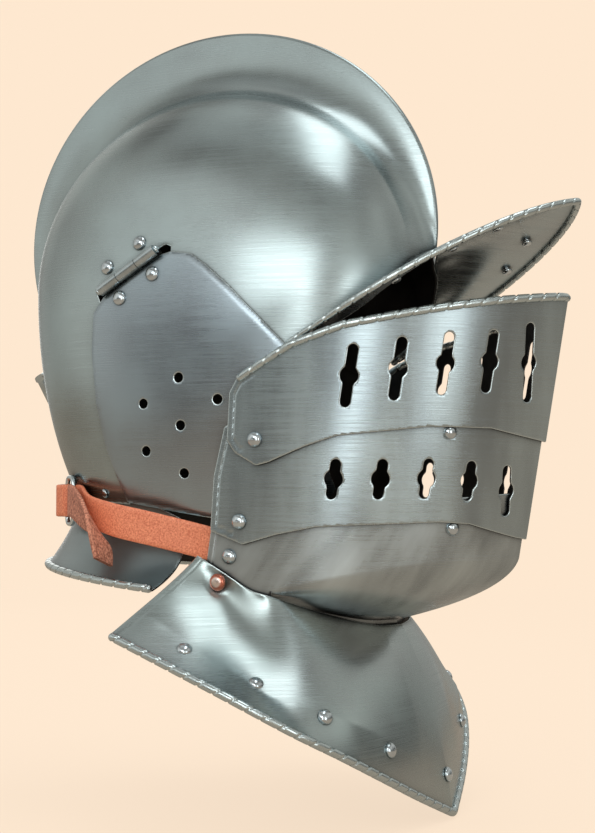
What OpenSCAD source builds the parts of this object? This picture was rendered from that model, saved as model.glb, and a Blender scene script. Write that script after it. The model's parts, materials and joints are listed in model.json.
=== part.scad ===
// Closed burgonet with a falling buffe: a combed skull with a pointed peak, hinged cheek
// pieces, and a strapped-on face guard whose two upper plates fall when a catch is pressed.
// Millimetres. Origin at the centre of the skull bowl, -Y to the front, +Z up, -X on the right side.

/* [Sheet] */
// Thickness of the steel sheet
sheet_t = 1.5; // [1.2:0.1:1.8]
// Free space between plates that lie on each other
lap_gap = 0.8; // [0.6:0.1:1]
// Diameter of the rolled edges
roll_d = 5; // [4:0.5:6]

/* [Skull] */
// Half of the skull's width at the ears
skull_w = 86; // [83:1:88]
// Half of the bowl's length
bowl_l = 130; // [126:1:134]
// Height of the bowl above its widest line
bowl_h = 120; // [112:1:124]
// Depth to which the sides and the nape draw in
bowl_drop = 210; // [200:5:225]
// Half of the comb's length
comb_l = 144; // [141:1:148]
// Height of the comb's crest above the origin
comb_h = 132; // [124:1:136]
// Half of the comb's thickness at its crest
comb_t = 2.2; // [2:0.2:3]

/* [Peak] */
// Distance of the peak's tip in front of the origin
peak_tip_y = 219; // [210:1:230]
// Height of the peak's tip
peak_tip_z = 8; // [0:1:18]
// Half of the peak's width
peak_w = 84; // [80:1:86]

/* [Cheek pieces] */
// Diameter of the breathing holes in the cheek pieces
ear_hole_d = 7; // [5:0.2:8]
// Diameter of the ring of breathing holes
ear_ring_d = 56; // [48:1:60]
// Outside diameter of the hinge barrel
barrel_d = 7; // [6.5:0.5:8]
// Length of the hinge barrel
barrel_l = 44; // [38:1:48]
// Diameter of the hinge pin
hinge_pin_d = 3; // [2.6:0.1:3.4]

/* [Buffe] */
// Half of the upper plate's width
buffe_w = 91.5; // [91:0.5:95]
// Distance of the upper plate's keel in front of its pivots
buffe_l = 143; // [140:1:148]
// Lean of the keel, forwards at the top
keel_lean = 9.5; // [8:0.5:11]
// Diameter of the round middles of the pierced sights
sight_hole_d = 11.6; // [9:0.2:12]
// Width of the pierced slots
slot_w = 7; // [5:0.2:8]
// Length of the slots in the upper plate
upper_slot_l = 37; // [30:1:40]
// Length of the slots in the middle plate
middle_slot_l = 24; // [20:1:26]
// Pierced slots on each side of a plate
slots_a_side = 5; // [3:1:5]

/* [Straps] */
// Width of the leather straps
strap_w = 20; // [16:1:22]
// Thickness of the leather straps
strap_t = 2.5; // [2:0.5:3]

/* [Rivets] */
// Diameter of the domed rivet heads
rivet_d = 9; // [7:0.5:10]
// Height of the domed rivet heads
rivet_h = 3; // [2:0.2:4]
// Diameter of the rivet shanks
shank_d = 4; // [3:0.2:4.6]
// Play of a pivot rivet in the plate that turns on it
pivot_play = 0.1; // [0.06:0.02:0.2]

/* [Hidden] */
$fn = 32;

steel = [0.62, 0.65, 0.64];
leather = [0.80, 0.44, 0.30];

// The skull is an egg whose side points sit at pole_y, pole_z; bowl_z is its widest line
pole_y = 4;
pole_z = -95;
bowl_z = -30;
foot_z = bowl_z - bowl_drop;
comb_foot = 25;

// Distance from the pole to an ellipse around (cy, cz), seen under the angle a above the front
function ray(p, q, cy, cz, a) =
    let (u = -cos(a), v = sin(a),
        k2 = pow(u / p, 2) + pow(v / q, 2),
        k1 = -2 * (cy * u / (p * p) + cz * v / (q * q)),
        k0 = pow(cy / p, 2) + pow(cz / q, 2) - 1)
    (-k1 + sqrt(k1 * k1 - 4 * k2 * k0)) / (2 * k2);
function bowl_r(a) =
    let (r = ray(bowl_l, bowl_h, 0, bowl_z - pole_z, a))
    pole_z + r * sin(a) >= bowl_z ? r : ray(bowl_l, bowl_drop, 0, bowl_z - pole_z, a);
function crest_r(a) = max(bowl_r(a), ray(comb_l, comb_h, 7, -pole_z, a));

// Point of the egg at x and at the distance r from the pole line, under the angle a
function on_ray(x, r, a) = [x, pole_y - r * cos(a), pole_z + r * sin(a)];
// Half-width of the egg at a place seen from the side; off is measured outwards
function side_x(y, z, off) =
    let (a = atan2(z - pole_z, pole_y - y),
        q = norm([y - pole_y, z - pole_z]) / (bowl_r(a) + off))
    (skull_w + off) * pow(max(0.0001, 1 - pow(min(q, 1), 2.35)), 0.4);
function bez2(a, b, c, t) = a * pow(1 - t, 2) + b * 2 * t * (1 - t) + c * t * t;
function bez3(a, b, c, d, t) =
    a * pow(1 - t, 3) + b * 3 * t * pow(1 - t, 2) + c * 3 * t * t * (1 - t) + d * pow(t, 3);

// Closed shell between two grids of points of the same size
module sheet(a, b) {
    n = len(a);
    m = len(a[0]);
    o = n * m;
    pts = [for (r = a) each r, for (r = b) each r];
    faces = [
        for (i = [0:n - 2], j = [0:m - 2]) each [
            [i * m + j, (i + 1) * m + j, (i + 1) * m + j + 1],
            [i * m + j, (i + 1) * m + j + 1, i * m + j + 1],
            [o + i * m + j, o + (i + 1) * m + j + 1, o + (i + 1) * m + j],
            [o + i * m + j, o + i * m + j + 1, o + (i + 1) * m + j + 1]],
        for (i = [0:n - 2]) each [
            [i * m, o + i * m, o + (i + 1) * m],
            [i * m, o + (i + 1) * m, (i + 1) * m],
            [i * m + m - 1, (i + 1) * m + m - 1, o + (i + 1) * m + m - 1],
            [i * m + m - 1, o + (i + 1) * m + m - 1, o + i * m + m - 1]],
        for (j = [0:m - 2]) each [
            [j, j + 1, o + j + 1],
            [j, o + j + 1, o + j],
            [(n - 1) * m + j, o + (n - 1) * m + j, o + (n - 1) * m + j + 1],
            [(n - 1) * m + j, o + (n - 1) * m + j + 1, (n - 1) * m + j + 1]]];
    polyhedron(pts, faces, convexity = 8);
}

// Grid of points moved by t along its normals
function moved(g, t) =
    let (n = len(g), m = len(g[0]))
    [for (i = [0:n - 1]) [for (j = [0:m - 1])
        let (a = g[min(i + 1, n - 1)][j] - g[max(i - 1, 0)][j],
            b = g[i][min(j + 1, m - 1)] - g[i][max(j - 1, 0)],
            c = cross(a, b))
        g[i][j] + t * c / max(0.001, norm(c))]];
// Both halves of a grid whose first row lies on the middle plane
function whole(g) =
    concat([for (i = [len(g) - 1:-1:1]) [for (p = g[i]) [-p.x, p.y, p.z]]], g);
// Smooth curve through a list of points, s from 0 to 1
function through(p, s) =
    let (n = len(p) - 1,
        i = min(n - 1, floor(s * n)),
        u = s * n - i,
        a = p[max(0, i - 1)], b = p[i], c = p[i + 1], d = p[min(n, i + 2)])
    0.5 * (2 * b + (c - a) * u + (2 * a - 5 * b + 4 * c - d) * u * u
        + (3 * b - a - 3 * c + d) * u * u * u);

// Round bar along a path, for the rolled edges
module roll(path, d) {
    n = len(path);
    m = 8;
    rings = [for (i = [0:n - 1])
        let (t = path[min(i + 1, n - 1)] - path[max(i - 1, 0)],
            w = t / norm(t),
            u0 = cross(w, [0.05, 0.1, 1]),
            u = u0 / norm(u0),
            v = cross(u, w))
        [for (k = [0:m - 1]) path[i] + d / 2 * (cos(k * 45) * u + sin(k * 45) * v)]];
    pts = [for (r = rings) each r];
    faces = [
        for (i = [0:n - 2], k = [0:m - 1]) each [
            [i * m + k, i * m + (k + 1) % m, (i + 1) * m + (k + 1) % m],
            [i * m + k, (i + 1) * m + (k + 1) % m, (i + 1) * m + k]],
        for (k = [1:m - 2]) [0, k + 1, k],
        for (k = [1:m - 2]) [(n - 1) * m, (n - 1) * m + k, (n - 1) * m + k + 1]];
    polyhedron(pts, faces, convexity = 6);
}

// Flat outline drawn in the side view and carried across the whole width
module side_cut(pts) {
    rotate([90, 0, 90])
        linear_extrude(260, center = true)
            polygon(pts);
}

// Turns +Z onto the direction n at the point p
module at(p, n) {
    translate(p)
        rotate([0, acos(n.z / norm(n)), atan2(n.y, n.x)])
            children();
}

// Domed rivet: head on +Z at z = 0, shank through the grip, clenched end below
module rivet(grip, d = rivet_d, h = rivet_h) {
    rotate_extrude($fn = 24)
        polygon([for (k = [0:5]) [d / 2 * cos(k * 18), h * sin(k * 18)],
            [0, h], [0, -grip - 1.6], [shank_d * 0.55, -grip - 1.6], [shank_d * 0.8, -grip - 0.6],
            [shank_d * 0.8, -grip], [shank_d / 2, -grip], [shank_d / 2, 0]]);
}

module both() {
    children();
    mirror([1, 0, 0])
        children();
}

// Outward direction of the right half of the egg
function side_n(y, z) =
    let (g = 1.5,
        dy = (side_x(y + g, z, 0) - side_x(y - g, z, 0)) / (2 * g),
        dz = (side_x(y, z + g, 0) - side_x(y, z - g, 0)) / (2 * g))
    [-1, -dy, -dz];

// Profile of one half of the skull, from the crest down to the side
function half_rows(a, off) =
    let (rb = bowl_r(a) + off,
        rc = crest_r(a) + off,
        tf = acos(pow(comb_foot / (skull_w + off), 1.25)),
        rf = rb * pow(sin(tf), 0.85),
        h = max(0.5, rc - rf),
        c = comb_t + off * 0.9,
        k = min(1, (rc - rb) / 14))
    concat(
        [[c * k, rc]],
        [for (t = [0.2:0.2:1])
            let (p = bez3([c * k, rc], [c * k + 1.5 + 8 * (1 - k), rc - h * 0.75 * k],
                [comb_foot - 11, rf + 1.5 + off * 0], [comb_foot, rf], t)) p],
        [for (t = [tf - 8:-(tf - 18) / 8:10])
            [(skull_w + off) * pow(cos(t), 0.8), rb * pow(sin(t), 0.85)]]);
function skull_row(a, off) =
    let (h = half_rows(a, off), n = len(h))
    concat([for (i = [n - 1:-1:0]) on_ray(-h[i][0], h[i][1], a)],
        [for (i = [0:n - 1]) on_ray(h[i][0], h[i][1], a)]);

brow_c = [-126, -20];
brow_v = [-67, -79];
function brow(u) = bez2(brow_c, [-116, -58], brow_v, u);
module skull() {
    color(steel)
        intersection() {
            sheet([for (a = [14:8:246]) skull_row(a, 0)],
                [for (a = [14:8:246]) skull_row(a, -sheet_t)]);
            side_cut(concat([[-160, 0], [-140, -12]], [for (u = [0:0.125:1]) brow(u)],
                [[-54, -86], [-20, -70], [4, -58], [6, -16], [10.2, -14.6],
                [57, -42.7], [50, -56], [48, -80], [45, -108], [38, -134], [28, -170],
                [60, -168], [120, -156], [200, -156], [200, 200], [-160, 200]]));
        }
}

// The peak is ruled between the brow line and a pointed edge that rises to the front
peak_arc = 114;
peak_r = (peak_arc * peak_arc + peak_w * peak_w) / (2 * peak_w);
peak_k = asin(peak_arc / peak_r);
peak_rise = (peak_tip_z - brow_v[1]) / (peak_tip_y + brow_v[0]);
bowl_front = bowl_l + 0.9;
function peak_out(s) =
    let (t = peak_k * (1 - min(1, s / 0.82)),
        x = peak_r * cos(t) - (peak_r - peak_w),
        y = -peak_tip_y + peak_arc - peak_r * sin(t) + max(0, s - 0.82) / 0.18 * 34)
    [-x, y, peak_tip_z - (y + peak_tip_y) * peak_rise];
function peak_in(s) =
    let (u = pow(s, 1.4) * 0.93,
        p = brow(u) + [0, 1])
    [s == 0 ? 0 : -side_x(p[0], p[1], 0.5), s == 0 ? pole_y - bowl_front : p[0], p[1]];
function peak_pt(s, t) = peak_in(s) * (1 - t) + peak_out(s) * t;
module peak() {
    g = whole([for (s = [0:0.05:1.001]) [for (t = [0:0.2:1.001]) peak_pt(s, t)]]);
    edge = [for (s = [0:0.05:1.001]) peak_out(s) + [0, 0, -0.6]];
    color(steel) {
        difference() {
            sheet(g, moved(g, sheet_t));
            // Notch that lets the foot of the comb through
            translate([0, -bowl_l, -60])
                linear_extrude(80)
                    polygon([[-26, 10], [-25, 6], [-14, 1], [-7, -2], [-2, -3.6],
                        [2, -3.6], [7, -2], [14, 1], [25, 6], [26, 10]]);
        }
        roll(concat([for (i = [len(edge) - 1:-1:1]) [-edge[i].x, edge[i].y, edge[i].z]], edge),
            roll_d);
    }
}
peak_spots = [0.2, 0.4, 0.62];
function peak_n(s) =
    let (a = peak_pt(s + 0.03, 0.7) - peak_pt(s - 0.03, 0.7), b = peak_pt(s, 0.75) - peak_pt(s, 0.65),
        c = cross(b, a))
    c.z > 0 ? c : -c;
module peak_rivets() {
    color(steel)
        both()
            for (s = peak_spots)
                at(peak_pt(s, 0.7), peak_n(s))
                    rivet(sheet_t + 0.2);
}

// Horizontal line round the back of the egg at the height z, s = 0 at the nape and 1 at the side
function nape_line(z, s, off) =
    let (q0 = (z - pole_z) / (foot_z - pole_z),
        f = pow(sin(90 * min(s, 2 - s)), 2.2),
        q = 1 - (1 - q0) * f,
        ze = pole_z + (z - pole_z) / q,
        ye = bowl_l * sqrt(max(0, 1 - pow((ze - bowl_z) / bowl_drop, 2))) * (s > 1 ? -1 : 1))
    [-(skull_w + off) * pow(max(0, 1 - pow(q, 2.35)), 0.4), pole_y + (q + off / bowl_l) * ye, z];
function nape_top(s) = -144 - 34 * (1 - cos(90 * s));
function nape_rim(s) = [-99 * sin(90 * s), 8 + (bowl_l - 12) * cos(90 * s), -206 - 12 * (1 - cos(90 * s))];
nape_in = 1.6;
function nape_pt(s, t) =
    let (z0 = nape_top(s),
        a = nape_line(z0 - 12, s, -sheet_t - lap_gap - nape_in),
        b = nape_line(z0 - 28, s, 0))
    t < 0.25 ? nape_line(z0 - 48 * t, s, -sheet_t - lap_gap - nape_in)
        : bez2(a, b, nape_rim(s), (t - 0.25) / 0.75);
module nape_plate() {
    g = whole([for (s = [0:0.0625:1.001]) [for (t = [0:0.125:1.001]) nape_pt(s, t)]]);
    color(steel) {
        sheet(g, moved(g, sheet_t));
        roll([for (r = g) r[len(r) - 1]], roll_d);
    }
}
nape_spots = [0.12, 0.36, 0.6];
module nape_rivets() {
    color(steel)
        both()
            for (s = nape_spots)
                at(nape_line(nape_top(s) - 5, s, 0), [-sin(90 * s), cos(90 * s), -0.35])
                    rivet(2 * sheet_t + lap_gap + nape_in, d = 6, h = 1.6);
}

// Cheek piece: a patch of the egg that lies on the skull
cheek_off = lap_gap + sheet_t;
cheek_line = [[11, -21.4], [5, -20], [-8, -22], [-18, -29], [-33, -42], [-50, -59], [-68, -78], [-74, -100],
    [-82, -130], [-86, -160], [-78, -172], [-20, -177], [37, -168], [50, -136], [56, -110],
    [59, -78], [58, -54], [51, -45.4]];
module side_patch(ys, zs, out, in) {
    sheet([for (y = ys) [for (z = zs) [-side_x(y, z, out), y, z]]],
        [for (y = ys) [for (z = zs) [-side_x(y, z, in), y, z]]]);
}
module cheek() {
    difference() {
        intersection() {
            side_patch([-92:10:68], [-186:8:-10], cheek_off, cheek_off - sheet_t);
            side_cut(cheek_line);
        }
        for (k = [0:5])
            translate([-60, ear_c[0] + (k < 5 ? ear_ring_d / 2 : 0) * cos(k * 60 - 92),
                ear_c[1] + (k < 5 ? ear_ring_d / 2 : 0) * sin(k * 60 - 92)])
                rotate([0, -90, 0])
                    cylinder(d = ear_hole_d, h = 50, $fn = 20);
    }
}
ear_c = [-4, -123];
module cheek_right() {
    color(steel)
        cheek();
}
module cheek_left() {
    color(steel)
        mirror([1, 0, 0])
            cheek();
}

// Hinge between the skull and a cheek piece: the barrel lies on the outside of the joint
hinge_a = [13, -18];
hinge_b = [53, -42];
hinge_gap = 0.4;
hinge_out = barrel_d / 2 + 1.1;
hinge_3a = [-side_x(hinge_a[0], hinge_a[1], 0) - hinge_out, hinge_a[0], hinge_a[1]];
hinge_3b = [-side_x(hinge_b[0], hinge_b[1], 0) - hinge_out, hinge_b[0], hinge_b[1]];
hinge_dir = (hinge_3b - hinge_3a) / norm(hinge_3b - hinge_3a);
hinge_mid = (hinge_3a + hinge_3b) / 2;
knuckle_l = (barrel_l - 2 * hinge_gap) / 3;
leaf_t = 1.2;
leaf_in = hinge_out + sheet_t + 0.9;
// Knuckle whose middle lies at the distance s from the middle of the hinge
module knuckle(s, bore, boxes) {
    at(hinge_mid + hinge_dir * s, hinge_dir)
        difference() {
            union() {
                cylinder(d = barrel_d, h = knuckle_l, center = true);
                // Web from the barrel to the leaf: [down from, to, inwards from, to]
                for (q = boxes)
                    translate([q[0], -q[3], -knuckle_l / 2])
                        cube([q[1] - q[0], q[3] - q[2], knuckle_l]);
            }
            cylinder(d = bore, h = barrel_l, center = true);
        }
}
module leaf_line(lo, hi, shrink) {
    d = (hinge_b - hinge_a) / norm(hinge_b - hinge_a);
    up = [-d[1], d[0]];
    m = (hinge_a + hinge_b) / 2;
    side_cut([m - d * barrel_l / 2 + up * lo, m + d * barrel_l / 2 + up * lo,
        m + d * (barrel_l / 2 - shrink) + up * hi, m - d * (barrel_l / 2 - shrink) + up * hi]);
}
module skull_leaf() {
    intersection() {
        side_patch([2:10:62], [-46:10:14], -sheet_t - 0.6, -sheet_t - 0.6 - leaf_t);
        leaf_line(2.2, 20, 5);
    }
    for (s = [-1, 1])
        knuckle(s * (knuckle_l + hinge_gap), hinge_pin_d,
            [[-0.5, 0.6, 2, leaf_in + leaf_t], [-4, 0.6, leaf_in, leaf_in + leaf_t]]);
}
module cheek_leaf() {
    intersection() {
        side_patch([-6:10:64], [-70:10:0], lap_gap - 0.15, lap_gap - 0.15 - leaf_t);
        leaf_line(-3, -20, 5);
    }
    knuckle(0, hinge_pin_d + pivot_play, [[0.5, 1.9, 2, hinge_out - 0.6],
        [0.5, 4.6, hinge_out - 1.7, hinge_out - 0.6]]);
}
module hinge_leaves_skull() {
    color(steel)
        both()
            skull_leaf();
}
module hinge_leaf_right() {
    color(steel)
        cheek_leaf();
}
module hinge_leaf_left() {
    color(steel)
        mirror([1, 0, 0])
            cheek_leaf();
}
module hinge_pins() {
    color(steel)
        both()
            at(hinge_mid, hinge_dir) {
                cylinder(d = hinge_pin_d, h = barrel_l + 1, center = true);
                for (s = [-1, 1])
                    translate([0, 0, s * (barrel_l / 2 + 0.9)])
                        cylinder(d = hinge_pin_d + 1.6, h = 1.6, center = true);
            }
}
leaf_spots = [-13, 13];
function beside_hinge(s, h) =
    let (d = (hinge_b - hinge_a) / norm(hinge_b - hinge_a))
    (hinge_a + hinge_b) / 2 + d * s + [-d[1], d[0]] * h;
module leaf_rivets(h, off) {
    for (s = leaf_spots) {
        p = beside_hinge(s, h);
        at([-side_x(p[0], p[1], off), p[0], p[1]], side_n(p[0], p[1]))
            rivet(sheet_t + leaf_t + 0.4);
    }
}
module hinge_rivets_skull() {
    color(steel)
        both()
            leaf_rivets(12, 0);
}
module hinge_rivets_right() {
    color(steel)
        leaf_rivets(-11, cheek_off);
}
module hinge_rivets_left() {
    color(steel)
        mirror([1, 0, 0])
            leaf_rivets(-11, cheek_off);
}

// The buffe leans forward round the upper pivots; its plates are drawn flat in that frame,
// [to the rear, up], and their plan is a pair of arcs that meet in the keel
upper_pivot = [-54, -132];
middle_pivot = [3, -48];
strap_pin = [7, -69];
gorget_pin = [9, -84];
wide_y = 4;
plate_step = sheet_t + lap_gap;
middle_w = buffe_w - plate_step;
chin_w = middle_w - plate_step;
gorget_w = chin_w + plate_step;
middle_l = buffe_l - plate_step * 1.12;
chin_l = middle_l - plate_step * 1.12;
gorget_l = chin_l + plate_step * 1.12;
module in_buffe() {
    translate([0, upper_pivot[0], upper_pivot[1]])
        rotate([keel_lean, 0, 0])
            children();
}
function arc_r(w, l) = (pow(l + wide_y, 2) + w * w) / (2 * w);
function arc_k(w, l) = asin((l + wide_y) / arc_r(w, l));
function arc_pt(w, l, a, z) =
    let (r = arc_r(w, l))
    [-(r * cos(max(a, 0)) - (r - w)), wide_y - r * sin(max(a, 0)), z];
function arc_at(w, l, y) = asin(max(0, wide_y - y) / arc_r(w, l));
function arc_pt_y(w, l, y, z) =
    let (p = arc_pt(w, l, arc_at(w, l, y), z))
    [p.x, y, z];
// From the buffe's own frame to the helmet's
function to_helmet(p) =
    [p.x, upper_pivot[0] + p.y * cos(keel_lean) - p.z * sin(keel_lean),
        upper_pivot[1] + p.y * sin(keel_lean) + p.z * cos(keel_lean)];
module plan(w, l) {
    k = arc_k(w, l);
    half = [[-w, 60], for (i = [0:14]) let (p = arc_pt(w, l, k * i / 14, 0)) [p.x, p.y]];
    polygon(concat(half, [for (i = [len(half) - 2:-1:0]) [-half[i][0], half[i][1]]]));
}
module plate_wall(w, l, line, z0, z1) {
    intersection() {
        translate([0, 0, z0])
            linear_extrude(z1 - z0, convexity = 4)
                difference() {
                    plan(w, l);
                    difference() {
                        offset(delta = -sheet_t)
                            plan(w, l);
                        translate([-200, 55])
                            square([400, 20]);
                    }
                }
        side_cut(line);
    }
}
// Something on the outside of a plate, at [rear, up], with +Z outwards
module on_plate(w, l, p, out = 0) {
    a = arc_at(w, l, p[0]);
    at(arc_pt_y(w, l, p[0], p[1]) + out * [-cos(a), -sin(a), 0], [-cos(a), -sin(a), 0])
        children();
}
upper_line = [[-160, 110], [-140, 108], [-114, 99], [-92, 91], [-68, 82], [-41, 72], [-12, 56],
    [10, 38], [17, 32], [20, 24], [17, -3], [11, -9], [-3, -14], [-10, -11], [-29, 1], [-46, 10],
    [-75, 18], [-92, 23], [-120, 27], [-140, 24], [-160, 21]];
middle_line = [[-160, 37], [-141, 36], [-93, 33], [-50, 22], [-12, 14], [10, 10], [21, 4],
    [23, -25], [20, -56], [-1, -60], [-20, -51], [-41, -43], [-64, -38], [-103, -30],
    [-116, -29], [-136, -34], [-160, -37]];
chin_line = [[-160, -4], [-141, -7], [-112, -15], [-93, -21], [-50, -33], [-12, -38], [18, -38],
    [21, -44], [20, -92], [-8, -94], [-30, -85.5], [-60, -72], [-100, -57], [-160, -48]];
slot_first = 18.5;
slot_step = 9.3;
module slots(w, l, len, heights) {
    for (i = [0:slots_a_side - 1], m = [0, 1])
        mirror([m, 0, 0]) {
            a = slot_first + slot_step * i;
            p = arc_pt(w, l, a, heights[i]);
            lean = i == 4 ? 8 : 0;
            long = i == 4 ? len * 1.27 : len;
            translate(p)
                rotate([90, 0, a - 90])
                    rotate([0, 0, lean])
                        linear_extrude(24, center = true) {
                            circle(d = sight_hole_d, $fn = 24);
                            translate([0, -(long - slot_w) / 2])
                                offset(r = slot_w / 2, $fn = 16)
                                    translate([-0.05, 0])
                                        square([0.1, long - slot_w]);
                        }
        }
}
module across(p, d) {
    translate([0, p[0], p[1]])
        rotate([0, 90, 0])
            cylinder(d = d, h = 260, center = true, $fn = 32);
}
edge_y = [-139, -128, -114, -103, -92, -80, -68, -55, -41, -26, -12, -1, 10, 17];
function line_z(line, y) = lookup(y, line);
top_z = [[-150, 109], [-140, 108], [-114, 99], [-92, 91], [-68, 82], [-41, 72], [-12, 56],
    [10, 38], [17, 32]];
module upper_lame() {
    k = arc_pt(buffe_w, buffe_l, arc_k(buffe_w, buffe_l), 0).y + 1;
    half = [for (y = concat([k], edge_y)) arc_pt_y(buffe_w - 0.8, buffe_l - 0.9, y, lookup(y, top_z))];
    edge = concat([for (i = [len(half) - 1:-1:0]) [-half[i].x, half[i].y, half[i].z]],
        [for (i = [1:len(half) - 1]) half[i]]);
    color(steel)
        in_buffe() {
            difference() {
                plate_wall(buffe_w, buffe_l, upper_line, -40, 120);
                slots(buffe_w, buffe_l, upper_slot_l, [44, 52, 59, 64, 67]);
                across([0, 0], shank_d + pivot_play);
            }
            roll(edge, roll_d);
        }
}
module middle_lame() {
    color(steel)
        in_buffe()
            difference() {
                plate_wall(middle_w, middle_l, middle_line, -80, 60);
                slots(middle_w, middle_l, middle_slot_l, [-15, -11, -7, -5, -8]);
                across(middle_pivot, shank_d + pivot_play);
                on_plate(middle_w, middle_l, upper_stud)
                    cylinder(d = stud_d + 0.8, h = 12, center = true, $fn = 24);
            }
}

// Throat of the chin plate: it turns in below the wall towards the neck
collar = [0, 0.5, -4.5];
neck = [[0, -106, -239], [-34, -99, -237], [-60, -80, -231], [-76, -56, -224], [-83, -40, -219]];
function throat_top(s) = arc_pt(chin_w - 0.1, chin_l, arc_k(chin_w, chin_l) * (1 - s) + 9 * s, 0);
function throat_pt(s, t) =
    let (p = throat_top(s),
        w = to_helmet([p.x, p.y, lookup(p.y, [[-140, -46], [-100, -54], [-60, -68], [-30, -80], [-15, -87]])]),
        n = through(neck, s),
        c = to_helmet([p.x * 0.99, p.y * 0.98, p.z - 68 - 22 * s]))
    bez2(w, c, n, t);
module chin_plate() {
    g = whole([for (s = [0:0.1:1.001])
        concat([for (t = [0:0.125:1.001]) throat_pt(s, t)], [throat_pt(s, 1) + collar])]);
    color(steel) {
        in_buffe()
            difference() {
                plate_wall(chin_w, chin_l, chin_line, -110, 10);
                on_plate(chin_w, chin_l, middle_stud)
                    cylinder(d = stud_d + 0.8, h = 12, center = true, $fn = 24);
            }
        sheet(moved(g, -sheet_t), g);
    }
}

// Gorget plate, flared over the collar
gorget_top = [[0, -109, -242], [-33, -103, -240], [-60, -83.5, -232],
    to_helmet(arc_pt_y(gorget_w, gorget_l, -24, -87)),
    to_helmet(arc_pt_y(gorget_w, gorget_l, -10, -85.5)),
    to_helmet(arc_pt_y(gorget_w, gorget_l, 8, -79)),
    to_helmet(arc_pt_y(gorget_w, gorget_l, 26, -72))];
gorget_rim = [[0, -141, -352], [-40, -133.5, -336], [-76, -124, -319.5], [-106, -111.5, -304],
    [-129, -92, -288.7], [-141, -54, -268.3], [-135, 15, -241.8]];
function gorget_pt(s, t) =
    let (a = through(gorget_top, s),
        c = through(gorget_rim, s),
        m = lookup(s, [[0, 0.72], [0.15, 0.87], [0.42, 0.87], [0.72, -0.08], [1, -0.08]]),
        k = lookup(s, [[0.42, 0.38], [0.72, 0.45]]),
        b = [a.x * (1 - m) + c.x * m, a.y * (1 - m) + c.y * m, a.z * (1 - k) + c.z * k])
    bez2(a, b, c, t);
module gorget_plate() {
    g = whole([for (s = [0:0.0625:1.001]) [for (t = [0:0.125:1.001]) gorget_pt(s, t)]]);
    color(steel)
        difference() {
            union() {
                sheet(moved(g, -sheet_t), g);
                roll([for (r = g) r[len(r) - 1]], roll_d);
            }
            in_buffe()
                across(gorget_pin, shank_d + pivot_play);
        }
}
gorget_spots = [[0, 0.83], [0.275, 0.83], [0.507, 0.8], [0.72, 0.78], [0.896, 0.85]];
module gorget_rivets() {
    color(steel)
        for (i = [0:len(gorget_spots) - 1], m = i == 0 ? [0] : [0, 1])
            mirror([m, 0, 0])
                at(gorget_pt(gorget_spots[i][0], gorget_spots[i][1]),
                    gorget_n(gorget_spots[i][0], gorget_spots[i][1]))
                    rivet(sheet_t);
}
function gorget_n(s, t) =
    let (p = gorget_pt(s, t),
        c = cross(gorget_pt(s + 0.03, t) - gorget_pt(max(0, s - 0.03), t),
            gorget_pt(s, t + 0.03) - gorget_pt(s, t - 0.03)),
        n = c * [p.x, p.y + 40, 0] < 0 ? -c : c)
    s > 0 ? n : [0, n.y, n.z];

// Pivots of the plates; the heads stand free of the plate that turns
head_gap = 0.35;
module pivot_pair(p, w, l, head = rivet_d, gap = head_gap) {
    both()
        translate([arc_pt_y(w, l, p[0], 0).x - gap, p[0], p[1]])
            rotate([0, -90, 0])
                rivet(2 * sheet_t + lap_gap + gap, d = head);
}
module upper_pivots() {
    color(steel)
        in_buffe()
            pivot_pair([0, 0], buffe_w, buffe_l);
}
module middle_pivots() {
    color(steel)
        in_buffe()
            pivot_pair(middle_pivot, middle_w, middle_l);
}
module gorget_pivots() {
    color([0.75, 0.42, 0.32])
        in_buffe()
            pivot_pair(gorget_pin, gorget_w, gorget_l, head = rivet_d + 1, gap = 3.5);
}

// Sprung catches on the right side: a stud that holds the plate above, on a leaf spring
stud_d = 7;
upper_stud = [-101, 20.6];
middle_stud = [-108, -33.4];
module catch(w, l, p) {
    in_buffe()
        on_plate(w, l, p, -sheet_t) {
            translate([0, 0, -1])
                cylinder(d = stud_d, h = sheet_t + 2.4, $fn = 24);
            translate([0, 0, sheet_t + 1.4])
                cylinder(d1 = stud_d, d2 = stud_d - 3, h = 1.2, $fn = 24);
        }
}
module upper_catch() {
    color(steel)
        catch(middle_w, middle_l, upper_stud);
}
module middle_catch() {
    color(steel)
        catch(chin_w, chin_l, middle_stud);
}

// Leather strap from the buffe round to the ring at the nape
module ribbon(path, width, thick) {
    n = len(path);
    a = [for (i = [0:n - 1])
        let (t = path[min(i + 1, n - 1)][0] - path[max(i - 1, 0)][0],
            up = path[i][1] / norm(path[i][1]),
            o0 = cross(t, up),
            o = o0 / norm(o0))
        [path[i][0] + up * width / 2, path[i][0] - up * width / 2, o]];
    sheet([for (q = a) [q[0] + q[2] * thick / 2, q[1] + q[2] * thick / 2]],
        [for (q = a) [q[0] - q[2] * thick / 2, q[1] - q[2] * thick / 2]]);
}
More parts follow.
